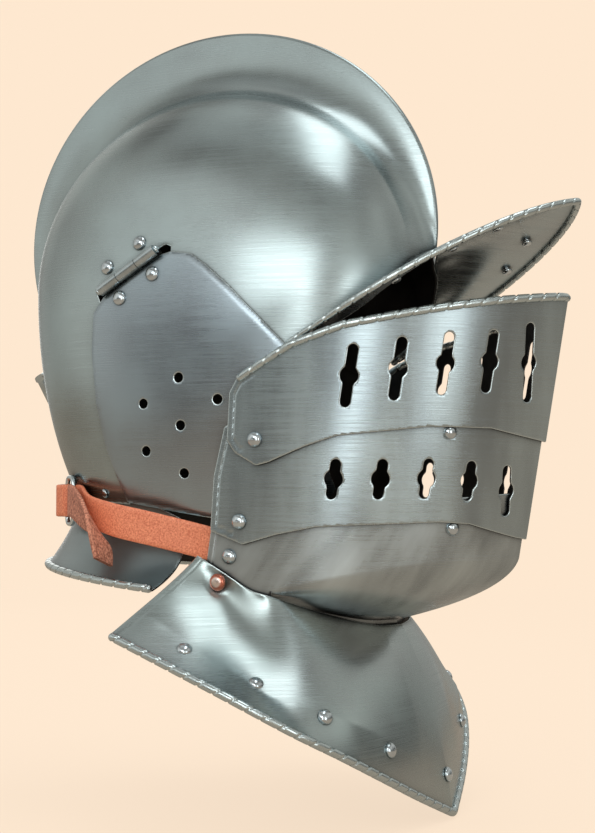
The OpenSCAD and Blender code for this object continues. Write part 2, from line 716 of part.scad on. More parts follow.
// The right strap goes through the ring and folds back over itself; the left one runs round
// the nape to the other bar of the ring
ring_out = [-0.76, 0.65, 0];
ring_on = [0.65, 0.76, 0];
ring_front = [-63.6, bowl_l - 46.7, -167.5];
ring_l = 13;
ring_rear = ring_front + ring_l * ring_on;
ring_wire = 3;
fold_r = ring_wire / 2 + 0.3 + strap_t / 2;
function fold(c, o, d) = [for (q = [[1, -0.35], [0.72, 0.72], [0, 1], [-0.72, 0.72], [-1, -0.35]])
    c + fold_r * (q[0] * o + q[1] * d)];
strap_start = [[-83.9, -38, -195.5], [-84.1, -14, -190], [-93, 14, -183], [-91, 38, -178.5]];
strap_up = [[0, 0, 1], [0, 0, 1], [0.05, 0, 1], [0.15, 0.05, 1], [0.25, 0.2, 1],
    [0.2, 0.2, 1], [0.1, 0.1, 1]];
strap_in = ring_front - fold_r * ring_out;
strap_run = concat(strap_start, [[-79.3, bowl_l - 68.5, -173.5], strap_in - ring_on * 10 + [0, 0, -0.5],
    strap_in - ring_on * 3]);
nape_run = concat([for (p = strap_start) [-p.x, p.y, p.z]], [[80, bowl_l - 68, -173.5],
    [62, bowl_l - 44, -170], [36, bowl_l - 26, -168], [0, bowl_l - 18, -167],
    [-28, bowl_l - 21.5, -167],
    ring_rear + fold_r * ring_out + ring_on * 9, ring_rear + fold_r * ring_out + ring_on * 3]);
module strap_right() {
    turn = fold(ring_front, -ring_out, ring_on);
    color(leather)
        ribbon(concat([for (s = [0:0.0625:1.001]) [through(strap_run, s), through(strap_up, s)]],
            [for (p = turn) [p, [0, 0, 1]]]), strap_w, strap_t);
}
module strap_left() {
    turn = fold(ring_rear, ring_out, -ring_on);
    color(leather)
        ribbon(concat([for (s = [0:0.04:1.001]) [through(nape_run, s), [0, 0, 1]]],
            [for (p = turn) [p, [0, 0, 1]]], [[turn[4] + ring_on * 8, [0, 0, 1]]]),
            strap_w, strap_t);
}
tail_run = [ring_front + (fold_r + 0.1) * ring_out - ring_on * 1.6,
    ring_front + (fold_r + 0.6) * ring_out - ring_on * 10 + [0, 0, -0.5],
    [-86.2, bowl_l - 67, -174.5], [-97, bowl_l - 81, -181], [-100.5, bowl_l - 88, -191],
    [-101, bowl_l - 90.5, -203]];
tail_up = [[0, 0, 1], [0, 0, 1], [-0.1, 0.1, 1], [-0.5, 0.4, 1], [-1, 0.8, 0.6], [-1, 1, 0.3]];
module strap_tail() {
    color([0.68, 0.42, 0.33])
        ribbon([for (s = [0:0.0833:1.001]) [through(tail_run, s), through(tail_up, s)]],
            strap_w * 0.9, strap_t);
}
module strap_ring() {
    color(steel)
        at((ring_front + ring_rear) / 2, ring_out)
            for (m = [0, 1])
                mirror([m, 0, 0]) {
                    translate([strap_w / 2 + 1.2, 0, 0])
                        rotate([0, 0, -90])
                            rotate_extrude(angle = 180, $fn = 32)
                                translate([ring_l / 2, 0])
                                    circle(d = ring_wire, $fn = 12);
                    for (y = [-1, 1])
                        translate([-0.01, y * ring_l / 2, 0])
                            rotate([0, 90, 0])
                                cylinder(d = ring_wire, h = strap_w / 2 + 1.22, $fn = 12);
                }
}
module strap_rivets() {
    color(steel)
        in_buffe()
            both()
                on_plate(chin_w, chin_l, strap_pin)
                    rivet(sheet_t + strap_t + 0.3);
}

// Plume holder on the back of the skull, below the end of the comb
function bowl_pt(x, a, off) =
    let (t = acos(pow(abs(x) / skull_w, 1.25)))
    on_ray(x, (bowl_r(a) + off) * pow(sin(t), 0.85), a);
plume_half = 9;
module plume_plate() {
    xs = [for (i = [-4:4]) i / 4];
    width = [[174.5, 0.45], [176, 0.85], [178, 1], [190, 1], [203, 0.8], [206, 0.45]];
    g = [for (a = [174.5, 176, 178, 182, 186, 190, 195, 200, 203, 206])
        [for (x = xs) bowl_pt(x * plume_half * lookup(a, width), a, 2.1)]];
    h = [for (a = [174.5, 176, 178, 182, 186, 190, 195, 200, 203, 206])
        [for (x = xs) bowl_pt(x * plume_half * lookup(a, width), a, 0.7)]];
    color(steel)
        sheet(g, h);
}
plume_mouth = [0, bowl_l + 16, -84];
plume_tip = [0, bowl_l - 10, -139];
plume_l = norm(plume_mouth - plume_tip);
module plume_tube() {
    color(steel)
        at(plume_tip, plume_mouth - plume_tip)
            difference() {
                union() {
                    cylinder(d1 = 4, d2 = 13, h = plume_l);
                    translate([0, 0, plume_l - 2])
                        cylinder(d = 14.4, h = 2);
                }
                translate([0, 0, plume_l * 0.15])
                    cylinder(d1 = 2, d2 = 10.6, h = plume_l * 0.85 + 0.01);
            }
}
module plume_rivets() {
    color(steel)
        for (x = [-6, 6])
            at(bowl_pt(x, 190, 2.1), [0, -cos(190), sin(190)])
                rivet(2.1 + sheet_t, d = 4.4, h = 1.4);
}

skull();
peak();
nape_plate();
cheek_right();
cheek_left();
upper_lame();
middle_lame();
chin_plate();
gorget_plate();
hinge_leaves_skull();
hinge_pins();
hinge_leaf_right();
hinge_leaf_left();
upper_pivots();
middle_pivots();
gorget_pivots();
gorget_rivets();
peak_rivets();
hinge_rivets_skull();
hinge_rivets_right();
hinge_rivets_left();
nape_rivets();
upper_catch();
middle_catch();
strap_right();
strap_left();
strap_tail();
strap_ring();
strap_rivets();
plume_plate();
plume_tube();
plume_rivets();
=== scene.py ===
import json
import math

import bmesh
import bpy
import numpy as np
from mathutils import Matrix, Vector


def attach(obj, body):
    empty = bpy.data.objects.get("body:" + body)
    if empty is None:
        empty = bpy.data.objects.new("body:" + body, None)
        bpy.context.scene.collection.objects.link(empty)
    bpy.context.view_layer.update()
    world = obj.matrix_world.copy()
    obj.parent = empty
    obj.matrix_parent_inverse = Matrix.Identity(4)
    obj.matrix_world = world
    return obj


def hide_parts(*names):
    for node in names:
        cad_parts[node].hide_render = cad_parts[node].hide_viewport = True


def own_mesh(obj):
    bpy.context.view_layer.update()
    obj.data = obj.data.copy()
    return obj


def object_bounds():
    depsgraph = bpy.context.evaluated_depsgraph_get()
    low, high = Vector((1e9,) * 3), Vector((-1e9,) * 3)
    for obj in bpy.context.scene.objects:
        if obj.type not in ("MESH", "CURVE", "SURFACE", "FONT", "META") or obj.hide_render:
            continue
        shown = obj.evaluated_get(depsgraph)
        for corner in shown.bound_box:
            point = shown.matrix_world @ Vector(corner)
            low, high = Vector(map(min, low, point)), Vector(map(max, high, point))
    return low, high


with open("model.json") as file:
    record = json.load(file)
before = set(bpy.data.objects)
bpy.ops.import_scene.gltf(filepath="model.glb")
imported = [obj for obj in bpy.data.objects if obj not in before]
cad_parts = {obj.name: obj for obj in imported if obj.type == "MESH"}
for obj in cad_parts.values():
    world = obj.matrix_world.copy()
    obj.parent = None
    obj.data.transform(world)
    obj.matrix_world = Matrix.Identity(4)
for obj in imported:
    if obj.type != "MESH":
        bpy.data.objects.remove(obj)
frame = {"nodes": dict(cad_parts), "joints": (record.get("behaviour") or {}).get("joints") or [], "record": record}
cad_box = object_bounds()

# Camera: the helmet from its right side, turned a little to the front and seen slightly
# from below through a long lens.
view_azimuth = math.radians(-66)
view_elevation = math.radians(-2.5)
view_distance = 1.0
view_point = Vector((0, -0.040, -0.115))
photo_height_px = 833
focal_length_px = 1600
toward_camera = Vector((
    math.sin(view_azimuth) * math.cos(view_elevation),
    -math.cos(view_azimuth) * math.cos(view_elevation),
    math.sin(view_elevation)))
camera_lens = bpy.data.cameras.new("view")
camera_lens.sensor_fit = "VERTICAL"
camera_lens.sensor_height = 36
camera_lens.lens = camera_lens.sensor_height * focal_length_px / photo_height_px
camera = bpy.data.objects.new("view", camera_lens)
camera.location = view_point + toward_camera * view_distance
camera.rotation_euler = (-toward_camera).to_track_quat("-Z", "Y").to_euler()
bpy.context.scene.collection.objects.link(camera)
bpy.context.scene.camera = camera

# Studio: a plain peach surround with a low fill light. Polished plates mirror a ring of pale
# and dim cloths that stands round the helmet, under a dim ceiling. Each cloth is a share of
# the way round and a grey, and the ceiling goes by height.
bpy.context.scene.view_settings.view_transform = "Standard"
peach = (0.991, 0.807, 0.631, 1)
cloths = (
    (0.0, 0.36), (0.03, 0.42), (0.06, 0.55), (0.086, 0.50), (0.12, 0.62), (0.17, 0.60), (0.20, 0.42),
    (0.225, 0.20), (0.27, 0.20), (0.31, 0.22), (0.36, 0.13), (0.40, 0.16), (0.43, 0.25), (0.47, 0.45),
    (0.53, 0.35), (0.60, 0.60), (0.69, 0.45), (0.77, 0.52), (0.82, 0.66), (0.866, 0.76), (0.893, 0.42),
    (0.915, 0.24), (0.94, 0.19), (0.97, 0.24), (1.0, 0.36))
ceiling = ((0.0, 0.52), (0.6, 0.50), (0.82, 0.28), (1.0, 0.34))
share, first_colour, second_colour, mixed_colour = 0, 6, 7, 2
first_number, second_number, mixed_number = 2, 3, 0
surround = bpy.data.worlds.new("surround")
surround.use_nodes = True
bpy.context.scene.world = surround
sky = surround.node_tree.nodes
sky_link = surround.node_tree.links.new
sky.clear()
sky_out = sky.new("ShaderNodeOutputWorld")
sky_mix = sky.new("ShaderNodeMixShader")
sky_seen = sky.new("ShaderNodeBackground")
sky_fill = sky.new("ShaderNodeBackground")
sky_fill.inputs["Color"].default_value = (0.88, 0.90, 0.92, 1)
sky_fill.inputs["Strength"].default_value = 1.0
sky_path = sky.new("ShaderNodeLightPath")
sky_clear = sky.new("ShaderNodeMath")
sky_clear.operation = "MAXIMUM"
sky_link(sky_path.outputs["Is Camera Ray"], sky_clear.inputs[0])
sky_link(sky_path.outputs["Is Transmission Ray"], sky_clear.inputs[1])
sky_any = sky.new("ShaderNodeMath")
sky_any.operation = "MAXIMUM"
sky_link(sky_clear.outputs["Value"], sky_any.inputs[0])
sky_link(sky_path.outputs["Is Glossy Ray"], sky_any.inputs[1])
sky_place = sky.new("ShaderNodeTexCoord")
sky_round = sky.new("ShaderNodeTexGradient")
sky_round.gradient_type = "RADIAL"
sky_link(sky_place.outputs["Generated"], sky_round.inputs["Vector"])
sky_ring = sky.new("ShaderNodeValToRGB")
sky_dome = sky.new("ShaderNodeValToRGB")
for stops, tones in ((sky_ring.color_ramp, cloths), (sky_dome.color_ramp, ceiling)):
    stops.interpolation = "EASE"
    for place, grey in tones[1:-1]:
        stops.elements.new(place)
    for stop, (place, grey) in zip(stops.elements, tones):
        stop.position = place
        stop.color = (grey, grey * 0.96, grey * 0.88, 1)
sky_link(sky_round.outputs["Fac"], sky_ring.inputs["Fac"])
sky_height = sky.new("ShaderNodeSeparateXYZ")
sky_link(sky_place.outputs["Generated"], sky_height.inputs["Vector"])
sky_lift = sky.new("ShaderNodeMapRange")
sky_lift.interpolation_type = "SMOOTHSTEP"
sky_lift.inputs["From Min"].default_value = 0.12
sky_lift.inputs["From Max"].default_value = 0.42
sky_link(sky_height.outputs["Z"], sky_lift.inputs["Value"])
sky_link(sky_height.outputs["Z"], sky_dome.inputs["Fac"])
sky_roof = sky.new("ShaderNodeMix")
sky_roof.data_type = "RGBA"
sky_link(sky_dome.outputs["Color"], sky_roof.inputs[second_colour])
sky_link(sky_lift.outputs["Result"], sky_roof.inputs[share])
sky_link(sky_ring.outputs["Color"], sky_roof.inputs[first_colour])
sky_turn = sky.new("ShaderNodeMapping")
sky_turn.inputs["Scale"].default_value = (4.2, 4.2, 0.7)
sky_link(sky_place.outputs["Generated"], sky_turn.inputs["Vector"])
sky_grain = sky.new("ShaderNodeTexNoise")
sky_grain.inputs["Scale"].default_value = 1
sky_grain.inputs["Detail"].default_value = 1.5
sky_link(sky_turn.outputs["Vector"], sky_grain.inputs["Vector"])
sky_band = sky.new("ShaderNodeMapRange")
for socket, number in (("From Min", 0.35), ("From Max", 0.65), ("To Min", 0.72), ("To Max", 1.3)):
    sky_band.inputs[socket].default_value = number
sky_link(sky_grain.outputs["Fac"], sky_band.inputs["Value"])
sky_level = sky.new("ShaderNodeMix")
sky_link(sky_clear.outputs["Value"], sky_level.inputs[share])
sky_link(sky_band.outputs["Result"], sky_level.inputs[first_number])
sky_level.inputs[second_number].default_value = 1
sky_link(sky_level.outputs[mixed_number], sky_seen.inputs["Strength"])
sky_tone = sky.new("ShaderNodeMix")
sky_tone.data_type = "RGBA"
sky_tone.inputs[second_colour].default_value = peach
sky_link(sky_clear.outputs["Value"], sky_tone.inputs[share])
sky_link(sky_roof.outputs[mixed_colour], sky_tone.inputs[first_colour])
sky_link(sky_tone.outputs[mixed_colour], sky_seen.inputs["Color"])
sky_link(sky_any.outputs["Value"], sky_mix.inputs["Fac"])
sky_link(sky_fill.outputs["Background"], sky_mix.inputs[1])
sky_link(sky_seen.outputs["Background"], sky_mix.inputs[2])
sky_link(sky_mix.outputs["Shader"], sky_out.inputs["Surface"])


def soft_box(name, place, aim, wide, high, power, colour):
    """Lamp behind a white sheet, in metres and watts, turned to the place aim"""
    lamp = bpy.data.lights.new(name, "AREA")
    lamp.shape = "RECTANGLE"
    lamp.size = wide
    lamp.size_y = high
    lamp.energy = power
    lamp.color = colour
    stand = bpy.data.objects.new(name, lamp)
    stand.location = place
    stand.rotation_euler = (Vector(aim) - Vector(place)).to_track_quat("-Z", "Y").to_euler()
    bpy.context.scene.collection.objects.link(stand)


cool_light = (0.97, 1, 1)
warm_light = (1, 0.97, 0.94)
soft_box("key box", (-1.5, 0.9, 0.9), (0, 0, 0), 1.6, 1.2, 1.6, cool_light)
soft_box("brow box", (-1.50, -0.19, 0.50), (0, -0.05, 0), 1.0, 0.42, 3.6, cool_light)
soft_box("lens box", (-1.49, -0.57, -0.2), (0, -0.05, -0.15), 0.28, 1.1, 2.8, cool_light)
soft_box("front box", (-0.97, -1.40, -0.3), (0, -0.05, -0.15), 0.45, 1.4, 4.2, cool_light)
soft_box("collar box", (0.04, -0.44, 1.38), (-0.1, -0.1, -0.27), 1.5, 0.5, 5.4, cool_light)
soft_box("top box", (0.1, 0.3, 1.6), (0, 0, 0), 2.0, 1.0, 1, cool_light)
soft_box("far box", (1.3, 1.0, 0.5), (0, 0, -0.1), 0.8, 1.2, 3, warm_light)

# Floor: a wide board just under the gorget, painted the same peach as the surround. It glows
# like the backdrop far away and takes the helmet's shadow close by.
floor_z = cad_box[0].z - 0.001
floor_far = 6
floor_corners = [(-floor_far, -floor_far, floor_z), (floor_far, -floor_far, floor_z),
                 (floor_far, floor_far, floor_z), (-floor_far, floor_far, floor_z)]
mirrored_floor = 0.36
floor_mesh = bpy.data.meshes.new("floor")
floor_mesh.from_pydata(floor_corners, [], [(0, 1, 2, 3)])
floor = bpy.data.objects.new("floor", floor_mesh)
bpy.context.scene.collection.objects.link(floor)
floor_paint = bpy.data.materials.new("floor paint")
floor_paint.use_nodes = True
paint = floor_paint.node_tree.nodes
paint_link = floor_paint.node_tree.links.new
paint.clear()
paint_out = paint.new("ShaderNodeOutputMaterial")
paint_add = paint.new("ShaderNodeAddShader")
paint_glow = paint.new("ShaderNodeEmission")
paint_glow.inputs["Color"].default_value = peach
paint_flat = paint.new("ShaderNodeBsdfDiffuse")
paint_path = paint.new("ShaderNodeLightPath")
paint_place = paint.new("ShaderNodeTexCoord")
paint_far = paint.new("ShaderNodeVectorMath")
paint_far.operation = "LENGTH"
paint_link(paint_place.outputs["Object"], paint_far.inputs[0])
paint_fade = paint.new("ShaderNodeMapRange")
paint_fade.interpolation_type = "SMOOTHSTEP"
for socket, number in (("From Min", 0.4), ("From Max", 2.2), ("To Min", 0.84), ("To Max", 1.0)):
    paint_fade.inputs[socket].default_value = number
paint_link(paint_far.outputs["Value"], paint_fade.inputs["Value"])
paint_seen = paint.new("ShaderNodeMath")
paint_seen.operation = "MULTIPLY_ADD"
paint_seen.inputs[1].default_value = mirrored_floor
paint_link(paint_path.outputs["Is Glossy Ray"], paint_seen.inputs[0])
paint_link(paint_path.outputs["Is Camera Ray"], paint_seen.inputs[2])
paint_clear = paint.new("ShaderNodeMath")
paint_clear.operation = "MAXIMUM"
paint_link(paint_seen.outputs["Value"], paint_clear.inputs[0])
paint_link(paint_path.outputs["Is Transmission Ray"], paint_clear.inputs[1])
paint_share = paint.new("ShaderNodeMath")
paint_share.operation = "MULTIPLY"
paint_link(paint_clear.outputs["Value"], paint_share.inputs[0])
paint_link(paint_fade.outputs["Result"], paint_share.inputs[1])
paint_link(paint_share.outputs["Value"], paint_glow.inputs["Strength"])
paint_tone = paint.new("ShaderNodeMapRange")
for socket, number in (("From Min", 0.84), ("From Max", 1.0), ("To Min", 1.0), ("To Max", 0.0)):
    paint_tone.inputs[socket].default_value = number
paint_link(paint_fade.outputs["Result"], paint_tone.inputs["Value"])
paint_dim = paint.new("ShaderNodeMix")
paint_dim.data_type = "RGBA"
paint_dim.inputs[first_colour].default_value = (0, 0, 0, 1)
paint_dim.inputs[second_colour].default_value = (0.150, 0.124, 0.098, 1)
paint_link(paint_tone.outputs["Result"], paint_dim.inputs[share])
paint_link(paint_dim.outputs[mixed_colour], paint_flat.inputs["Color"])
paint_link(paint_glow.outputs["Emission"], paint_add.inputs[0])
paint_link(paint_flat.outputs["BSDF"], paint_add.inputs[1])
paint_link(paint_add.outputs["Shader"], paint_out.inputs["Surface"])
floor_mesh.materials.append(floor_paint)


# Skull: one bowl hammered out of a steel sheet, with a tall thin comb raised along the
# middle. It was ground smooth and brushed; its inside is coloured near black.
# Lengths in the plates' sections are in millimetres.
sheet_t = 1.5
skull_w, bowl_l, bowl_h, bowl_drop = 86, 130, 120, 210
comb_l, comb_h, comb_t, comb_foot = 144, 132, 2.2, 25
comb_y = 7
pole_y, pole_z, bowl_z = 4, -95, -30
foot_z = bowl_z - bowl_drop
side_power, height_power = 0.8, 0.85
egg_inner, egg_outer = 2.35, 0.4


def reach(p, q, cy, cz, angle):
    """Distance from the pole of the egg to an ellipse, under an angle above the front"""
    u, v = -np.cos(angle), np.sin(angle)
    k2 = (u / p) ** 2 + (v / q) ** 2
    k1 = -2 * (cy * u / p ** 2 + cz * v / q ** 2)
    k0 = (cy / p) ** 2 + (cz / q) ** 2 - 1
    return (-k1 + np.sqrt(k1 * k1 - 4 * k2 * k0)) / (2 * k2)


def bowl_reach(angle):
    """Distance from the pole to the bowl's outline: a tall lower ellipse under a round top"""
    r = reach(bowl_l, bowl_h, 0, bowl_z - pole_z, angle)
    low = reach(bowl_l, bowl_drop, 0, bowl_z - pole_z, angle)
    return np.where(pole_z + r * np.sin(angle) >= bowl_z, r, low)


def crest_reach(angle):
    """Distance from the pole to the comb's crest, or to the bowl where there is no comb"""
    return np.maximum(bowl_reach(angle), reach(comb_l, comb_h, comb_y, -pole_z, angle))


def side_x(y, z, off=0.0):
    """Half-width of the egg at a place seen from the side; off is measured outwards"""
    q = np.hypot(y - pole_y, z - pole_z) / (bowl_reach(np.arctan2(z - pole_z, pole_y - y)) + off)
    return (skull_w + off) * np.maximum(1e-4, 1 - np.minimum(q, 1) ** egg_inner) ** egg_outer


def bez2(a, b, c, t):
    """Curve from a to c drawn towards b"""
    return a * (1 - t) ** 2 + b * 2 * t * (1 - t) + c * t * t


def bez3(a, b, c, d, t):
    """Curve from a to d drawn towards b and c"""
    return a * (1 - t) ** 3 + b * 3 * t * (1 - t) ** 2 + c * 3 * t * t * (1 - t) + d * t ** 3


def inside(u, v, outline):
    """Distance to an outline, positive inside it"""
    p = np.stack([u, v], -1)[..., None, :]
    a = np.array(outline, float)
    e = np.roll(a, -1, 0) - a
    w = p - a
    t = np.clip((w * e).sum(-1) / (e * e).sum(-1), 0, 1)
    gap = np.sqrt(((w - t[..., None] * e) ** 2).sum(-1)).min(-1)
    above = a[:, 1] > p[..., 1]
    crosses = above != np.roll(above, -1, -1)
    rise = np.where(np.abs(e[:, 1]) < 1e-9, 1e-9, e[:, 1])
    at = a[:, 0] + (p[..., 1] - a[:, 1]) / rise * e[:, 0]
    odd = (crosses & (p[..., 0] < at)).sum(-1) % 2
    return np.where(odd == 1, gap, -gap)


def mirrored(half):
    """Both halves of a grid whose first row lies on the middle plane"""
    return np.concatenate([half[:0:-1] * (-1, 1, 1), half])


def plate(name, grid, keep=None, thick=sheet_t, heart=(0, 0, -60), gap=None):
    """Sheet of even thickness through a grid of points, cut where keep is negative, or where
    gap is true, with rounded edges; heart is a point on its hollow side. Its coats are in
    the order outside, inside, cut edge; the inside coat also covers the inner three quarters
    of each rounded edge as a painted shadow line"""
    n, m = grid.shape[:2]
    keep = np.ones((n, m)) if keep is None else keep
    normal = np.cross(np.gradient(grid, axis=0), np.gradient(grid, axis=1))
    normal /= np.maximum(np.linalg.norm(normal, axis=2, keepdims=True), 1e-9)
    turned = ((grid - np.array(heart)) * normal).sum() < 0
    if turned:
        normal = -normal
    points, normals, made = [], [], {}

    def corner(i, j):
        if (i, j) not in made:
            made[i, j] = len(points)
            points.append(grid[i, j])
            normals.append(normal[i, j])
        return made[i, j]

    def crossing(p, q):
        key = (min(p, q), max(p, q))
        if key not in made:
            t = keep[key[0]] / (keep[key[0]] - keep[key[1]])
            made[key] = len(points)
            points.append(grid[key[0]] * (1 - t) + grid[key[1]] * t)
            normals.append(normal[key[0]] * (1 - t) + normal[key[1]] * t)
        return made[key]

    outer = []
    for i in range(n - 1):
        for j in range(m - 1):
            if gap is not None and gap[i, j]:
                continue
            ring = [(i, j), (i + 1, j), (i + 1, j + 1), (i, j + 1)]
            face = []
            for k in range(4):
                p, q = ring[k], ring[(k + 1) % 4]
                if keep[p] > 0:
                    face.append(corner(*p))
                if (keep[p] > 0) != (keep[q] > 0):
                    face.append(crossing(p, q))
            if len(face) > 2:
                outer.append(face[::-1] if turned else face)
    points = np.array(points)
    normals = np.array(normals)
    normals /= np.maximum(np.linalg.norm(normals, axis=1, keepdims=True), 1e-9)
    count = len(points)
    sides = set()
    for face in outer:
        for k in range(len(face)):
            sides.add((face[k - 1], face[k]))
    rim = sorted(s for s in sides if (s[1], s[0]) not in sides)
    out = np.zeros((count, 3))
    for a, b in rim:
        step = points[b] - points[a]
        push = np.cross(step, (normals[a] + normals[b]) / 2)
        push /= max(np.linalg.norm(push), 1e-9)
        out[a] += push
        out[b] += push
    edge = sorted({k for s in rim for k in s})
    out[edge] /= np.maximum(np.linalg.norm(out[edge], axis=1, keepdims=True), 1e-9)
    place = {k: i for i, k in enumerate(edge)}
    rows = [points, points - normals * thick]
    for turn in (45, 90, 135):
        s, c = math.sin(math.radians(turn)), math.cos(math.radians(turn))
        rows.append(points[edge] + out[edge] * thick * 0.4 * s
                    - normals[edge] * thick * (1 - c) / 2)
    chain = [{k: k for k in edge}]
    for r in range(3):
        chain.append({k: 2 * count + r * len(edge) + place[k] for k in edge})
    chain.append({k: count + k for k in edge})
    faces = list(outer)
    faces += [[count + k for k in reversed(face)] for face in outer]
    for a, b in rim:
        for r in range(4):
            faces.append([chain[r][b], chain[r][a], chain[r + 1][a], chain[r + 1][b]])
    mesh = bpy.data.meshes.new(name)
    mesh.from_pydata(np.concatenate(rows) / 1000, [], faces)
    # Painted shadow line: only the outer quarter of each rounded edge takes the pale edge coat; the other three
    # quarters take the near black inside coat.
    kind = np.ones(len(faces), np.int32)
    kind[:len(outer)] = 0
    kind[2 * len(outer)::4] = 2
    mesh.polygons.foreach_set("material_index", kind)
    mesh.shade_smooth()
    mesh.set_sharp_from_angle(angle=math.radians(42))
    sheet = bpy.data.objects.new(name, mesh)
    bpy.context.scene.collection.objects.link(sheet)
    return sheet


def blank(name):
    """New material with only a shader in it"""
    material = bpy.data.materials.new(name)
    material.use_nodes = True
    nodes = material.node_tree.nodes
    return material, nodes, material.node_tree.links.new, nodes["Principled BSDF"]


def noise(nodes, link, stretch, detail=2.0, turn=(0, 0, 0)):
    """Grain over the object's own place, finer where stretch is larger"""
    place = nodes.new("ShaderNodeTexCoord")
    mapping = nodes.new("ShaderNodeMapping")
    mapping.vector_type = "TEXTURE"
    mapping.inputs["Scale"].default_value = [1 / s for s in stretch]
    mapping.inputs["Rotation"].default_value = turn
    grain = nodes.new("ShaderNodeTexNoise")
    grain.inputs["Scale"].default_value = 1
    grain.inputs["Detail"].default_value = detail
    link(place.outputs["Object"], mapping.inputs["Vector"])
    link(mapping.outputs["Vector"], grain.inputs["Vector"])
    return grain.outputs["Fac"]


def ranged(nodes, link, value, low, high, start=0.3, end=0.7):
    """Spreads a grain between two numbers"""
    spread = nodes.new("ShaderNodeMapRange")
    for socket, number in (("From Min", start), ("From Max", end), ("To Min", low), ("To Max", high)):
        spread.inputs[socket].default_value = number
    link(value, spread.inputs["Value"])
    return spread.outputs["Result"]


def shaded(nodes, link, value, dark, light, start=0.3, end=0.7):
    """Colours a grain between two shades"""
    ramp = nodes.new("ShaderNodeValToRGB")
    ramp.color_ramp.elements[0].position = start
    ramp.color_ramp.elements[0].color = (*dark, 1)
    ramp.color_ramp.elements[1].position = end
    ramp.color_ramp.elements[1].color = (*light, 1)
    link(value, ramp.inputs["Fac"])
    return ramp.outputs["Color"]


def brushed_steel(name, cool, warm, smooth=0.20, rough=0.34, lines=(22, 22, 2400), turn=(0, 0, 0),
                  stretch=0.4, cloud=(16, 16, 16), cloud_turn=(0, 0, 0)):
    """Steel with faint cloudy tones, brush lines, painted shade in its nooks and a satin shine"""
    material, nodes, link, shader = blank(name)
    shader.inputs["Metallic"].default_value = 1
    shader.inputs["Anisotropic"].default_value = stretch
    across = nodes.new("ShaderNodeTangent")
    across.direction_type = "RADIAL"
    across.axis = "Z"
    link(across.outputs["Tangent"], shader.inputs["Tangent"])
    clouds = noise(nodes, link, cloud, 4, cloud_turn)
    brush = noise(nodes, link, lines, 3, turn)
    nook_depth, brush_depth = 0.007, 0.0001
    # Painted shade: the base colour turns near black where other surfaces lie close, in nooks, seams and under
    # overlapping edges.
    nook = nodes.new("ShaderNodeAmbientOcclusion")
    nook.samples = 6
    nook.inputs["Distance"].default_value = nook_depth
    nook_shade = nodes.new("ShaderNodeMix")
    nook_shade.data_type = "RGBA"
    nook_shade.inputs[first_colour].default_value = (0.05, 0.05, 0.05, 1)
    link(ranged(nodes, link, nook.outputs["AO"], 0.0, 1.0, 0.35, 0.95), nook_shade.inputs[share])
    link(shaded(nodes, link, clouds, warm, cool), nook_shade.inputs[second_colour])
    link(nook_shade.outputs[mixed_colour], shader.inputs["Base Color"])
    sheen = nodes.new("ShaderNodeMath")
    sheen.operation = "ADD"
    link(ranged(nodes, link, clouds, smooth, rough), sheen.inputs[0])
    link(ranged(nodes, link, brush, -0.05, 0.05), sheen.inputs[1])
    link(sheen.outputs["Value"], shader.inputs["Roughness"])
    bump = nodes.new("ShaderNodeBump")
    bump.inputs["Strength"].default_value = 0.10
    bump.inputs["Distance"].default_value = brush_depth
    link(brush, bump.inputs["Height"])
    link(bump.outputs["Normal"], shader.inputs["Normal"])
    return material


skull_steel = brushed_steel("skull steel", (0.45, 0.54, 0.55), (0.36, 0.415, 0.425), 0.24, 0.34)
edge_steel, edge_nodes, edge_link, edge_shader = blank("edge steel")
edge_shader.inputs["Metallic"].default_value = 1
edge_shader.inputs["Base Color"].default_value = (0.58, 0.66, 0.67, 1)
edge_grain = noise(edge_nodes, edge_link, (300, 300, 300), 2)
edge_link(ranged(edge_nodes, edge_link, edge_grain, 0.2, 0.34), edge_shader.inputs["Roughness"])
# Near black coat for the insides of the plates; on their rounded cut edges it is a painted shadow line.
black_inside_and_shadow_line, black_nodes, black_link, black_shader = blank("black inside and shadow line")
black_shader.inputs["Metallic"].default_value = 0.3
black_grain = noise(black_nodes, black_link, (60, 60, 60), 5)
black_link(shaded(black_nodes, black_link, black_grain, (0.009, 0.009, 0.009), (0.040, 0.037, 0.034)),
           black_shader.inputs["Base Color"])
black_link(ranged(black_nodes, black_link, black_grain, 0.5, 0.8), black_shader.inputs["Roughness"])

brow_turn, nape_turn = 14, 246
comb_blend = 14
angles = np.radians(np.linspace(brow_turn, nape_turn, 175))
bowl_r, crest_r = bowl_reach(angles), crest_reach(angles)
foot_turn = math.degrees(math.acos((comb_foot / skull_w) ** (1 / side_power)))
foot_r = bowl_r * math.sin(math.radians(foot_turn)) ** height_power
comb_rise = np.maximum(0.5, crest_r - foot_r)
fullness = np.minimum(1, (crest_r - bowl_r) / comb_blend)
half_crest = comb_t * fullness
profile = [(half_crest * 0, crest_r), (half_crest * 0.5, crest_r - half_crest * 0.13),
           (half_crest * 0.87, crest_r - half_crest * 0.5)]
for t in np.linspace(0, 1, 15):
    profile.append((
        bez3(half_crest, half_crest + 1.5 + 8 * (1 - fullness), comb_foot - 11, comb_foot, t),
        bez3(crest_r - half_crest, crest_r - comb_rise * 0.75 * fullness, foot_r + 1.5, foot_r, t)))
for t in np.radians(np.linspace(foot_turn, 10, 48)[1:]):
    profile.append((angles * 0 + skull_w * np.cos(t) ** side_power, bowl_r * np.sin(t) ** height_power))
across_x = np.array([p[0] for p in profile])
across_r = np.array([p[1] for p in profile])
skull_half = np.stack([-across_x, pole_y - across_r * np.cos(angles),
                       pole_z + across_r * np.sin(angles)], -1)
skull_grid = mirrored(skull_half)
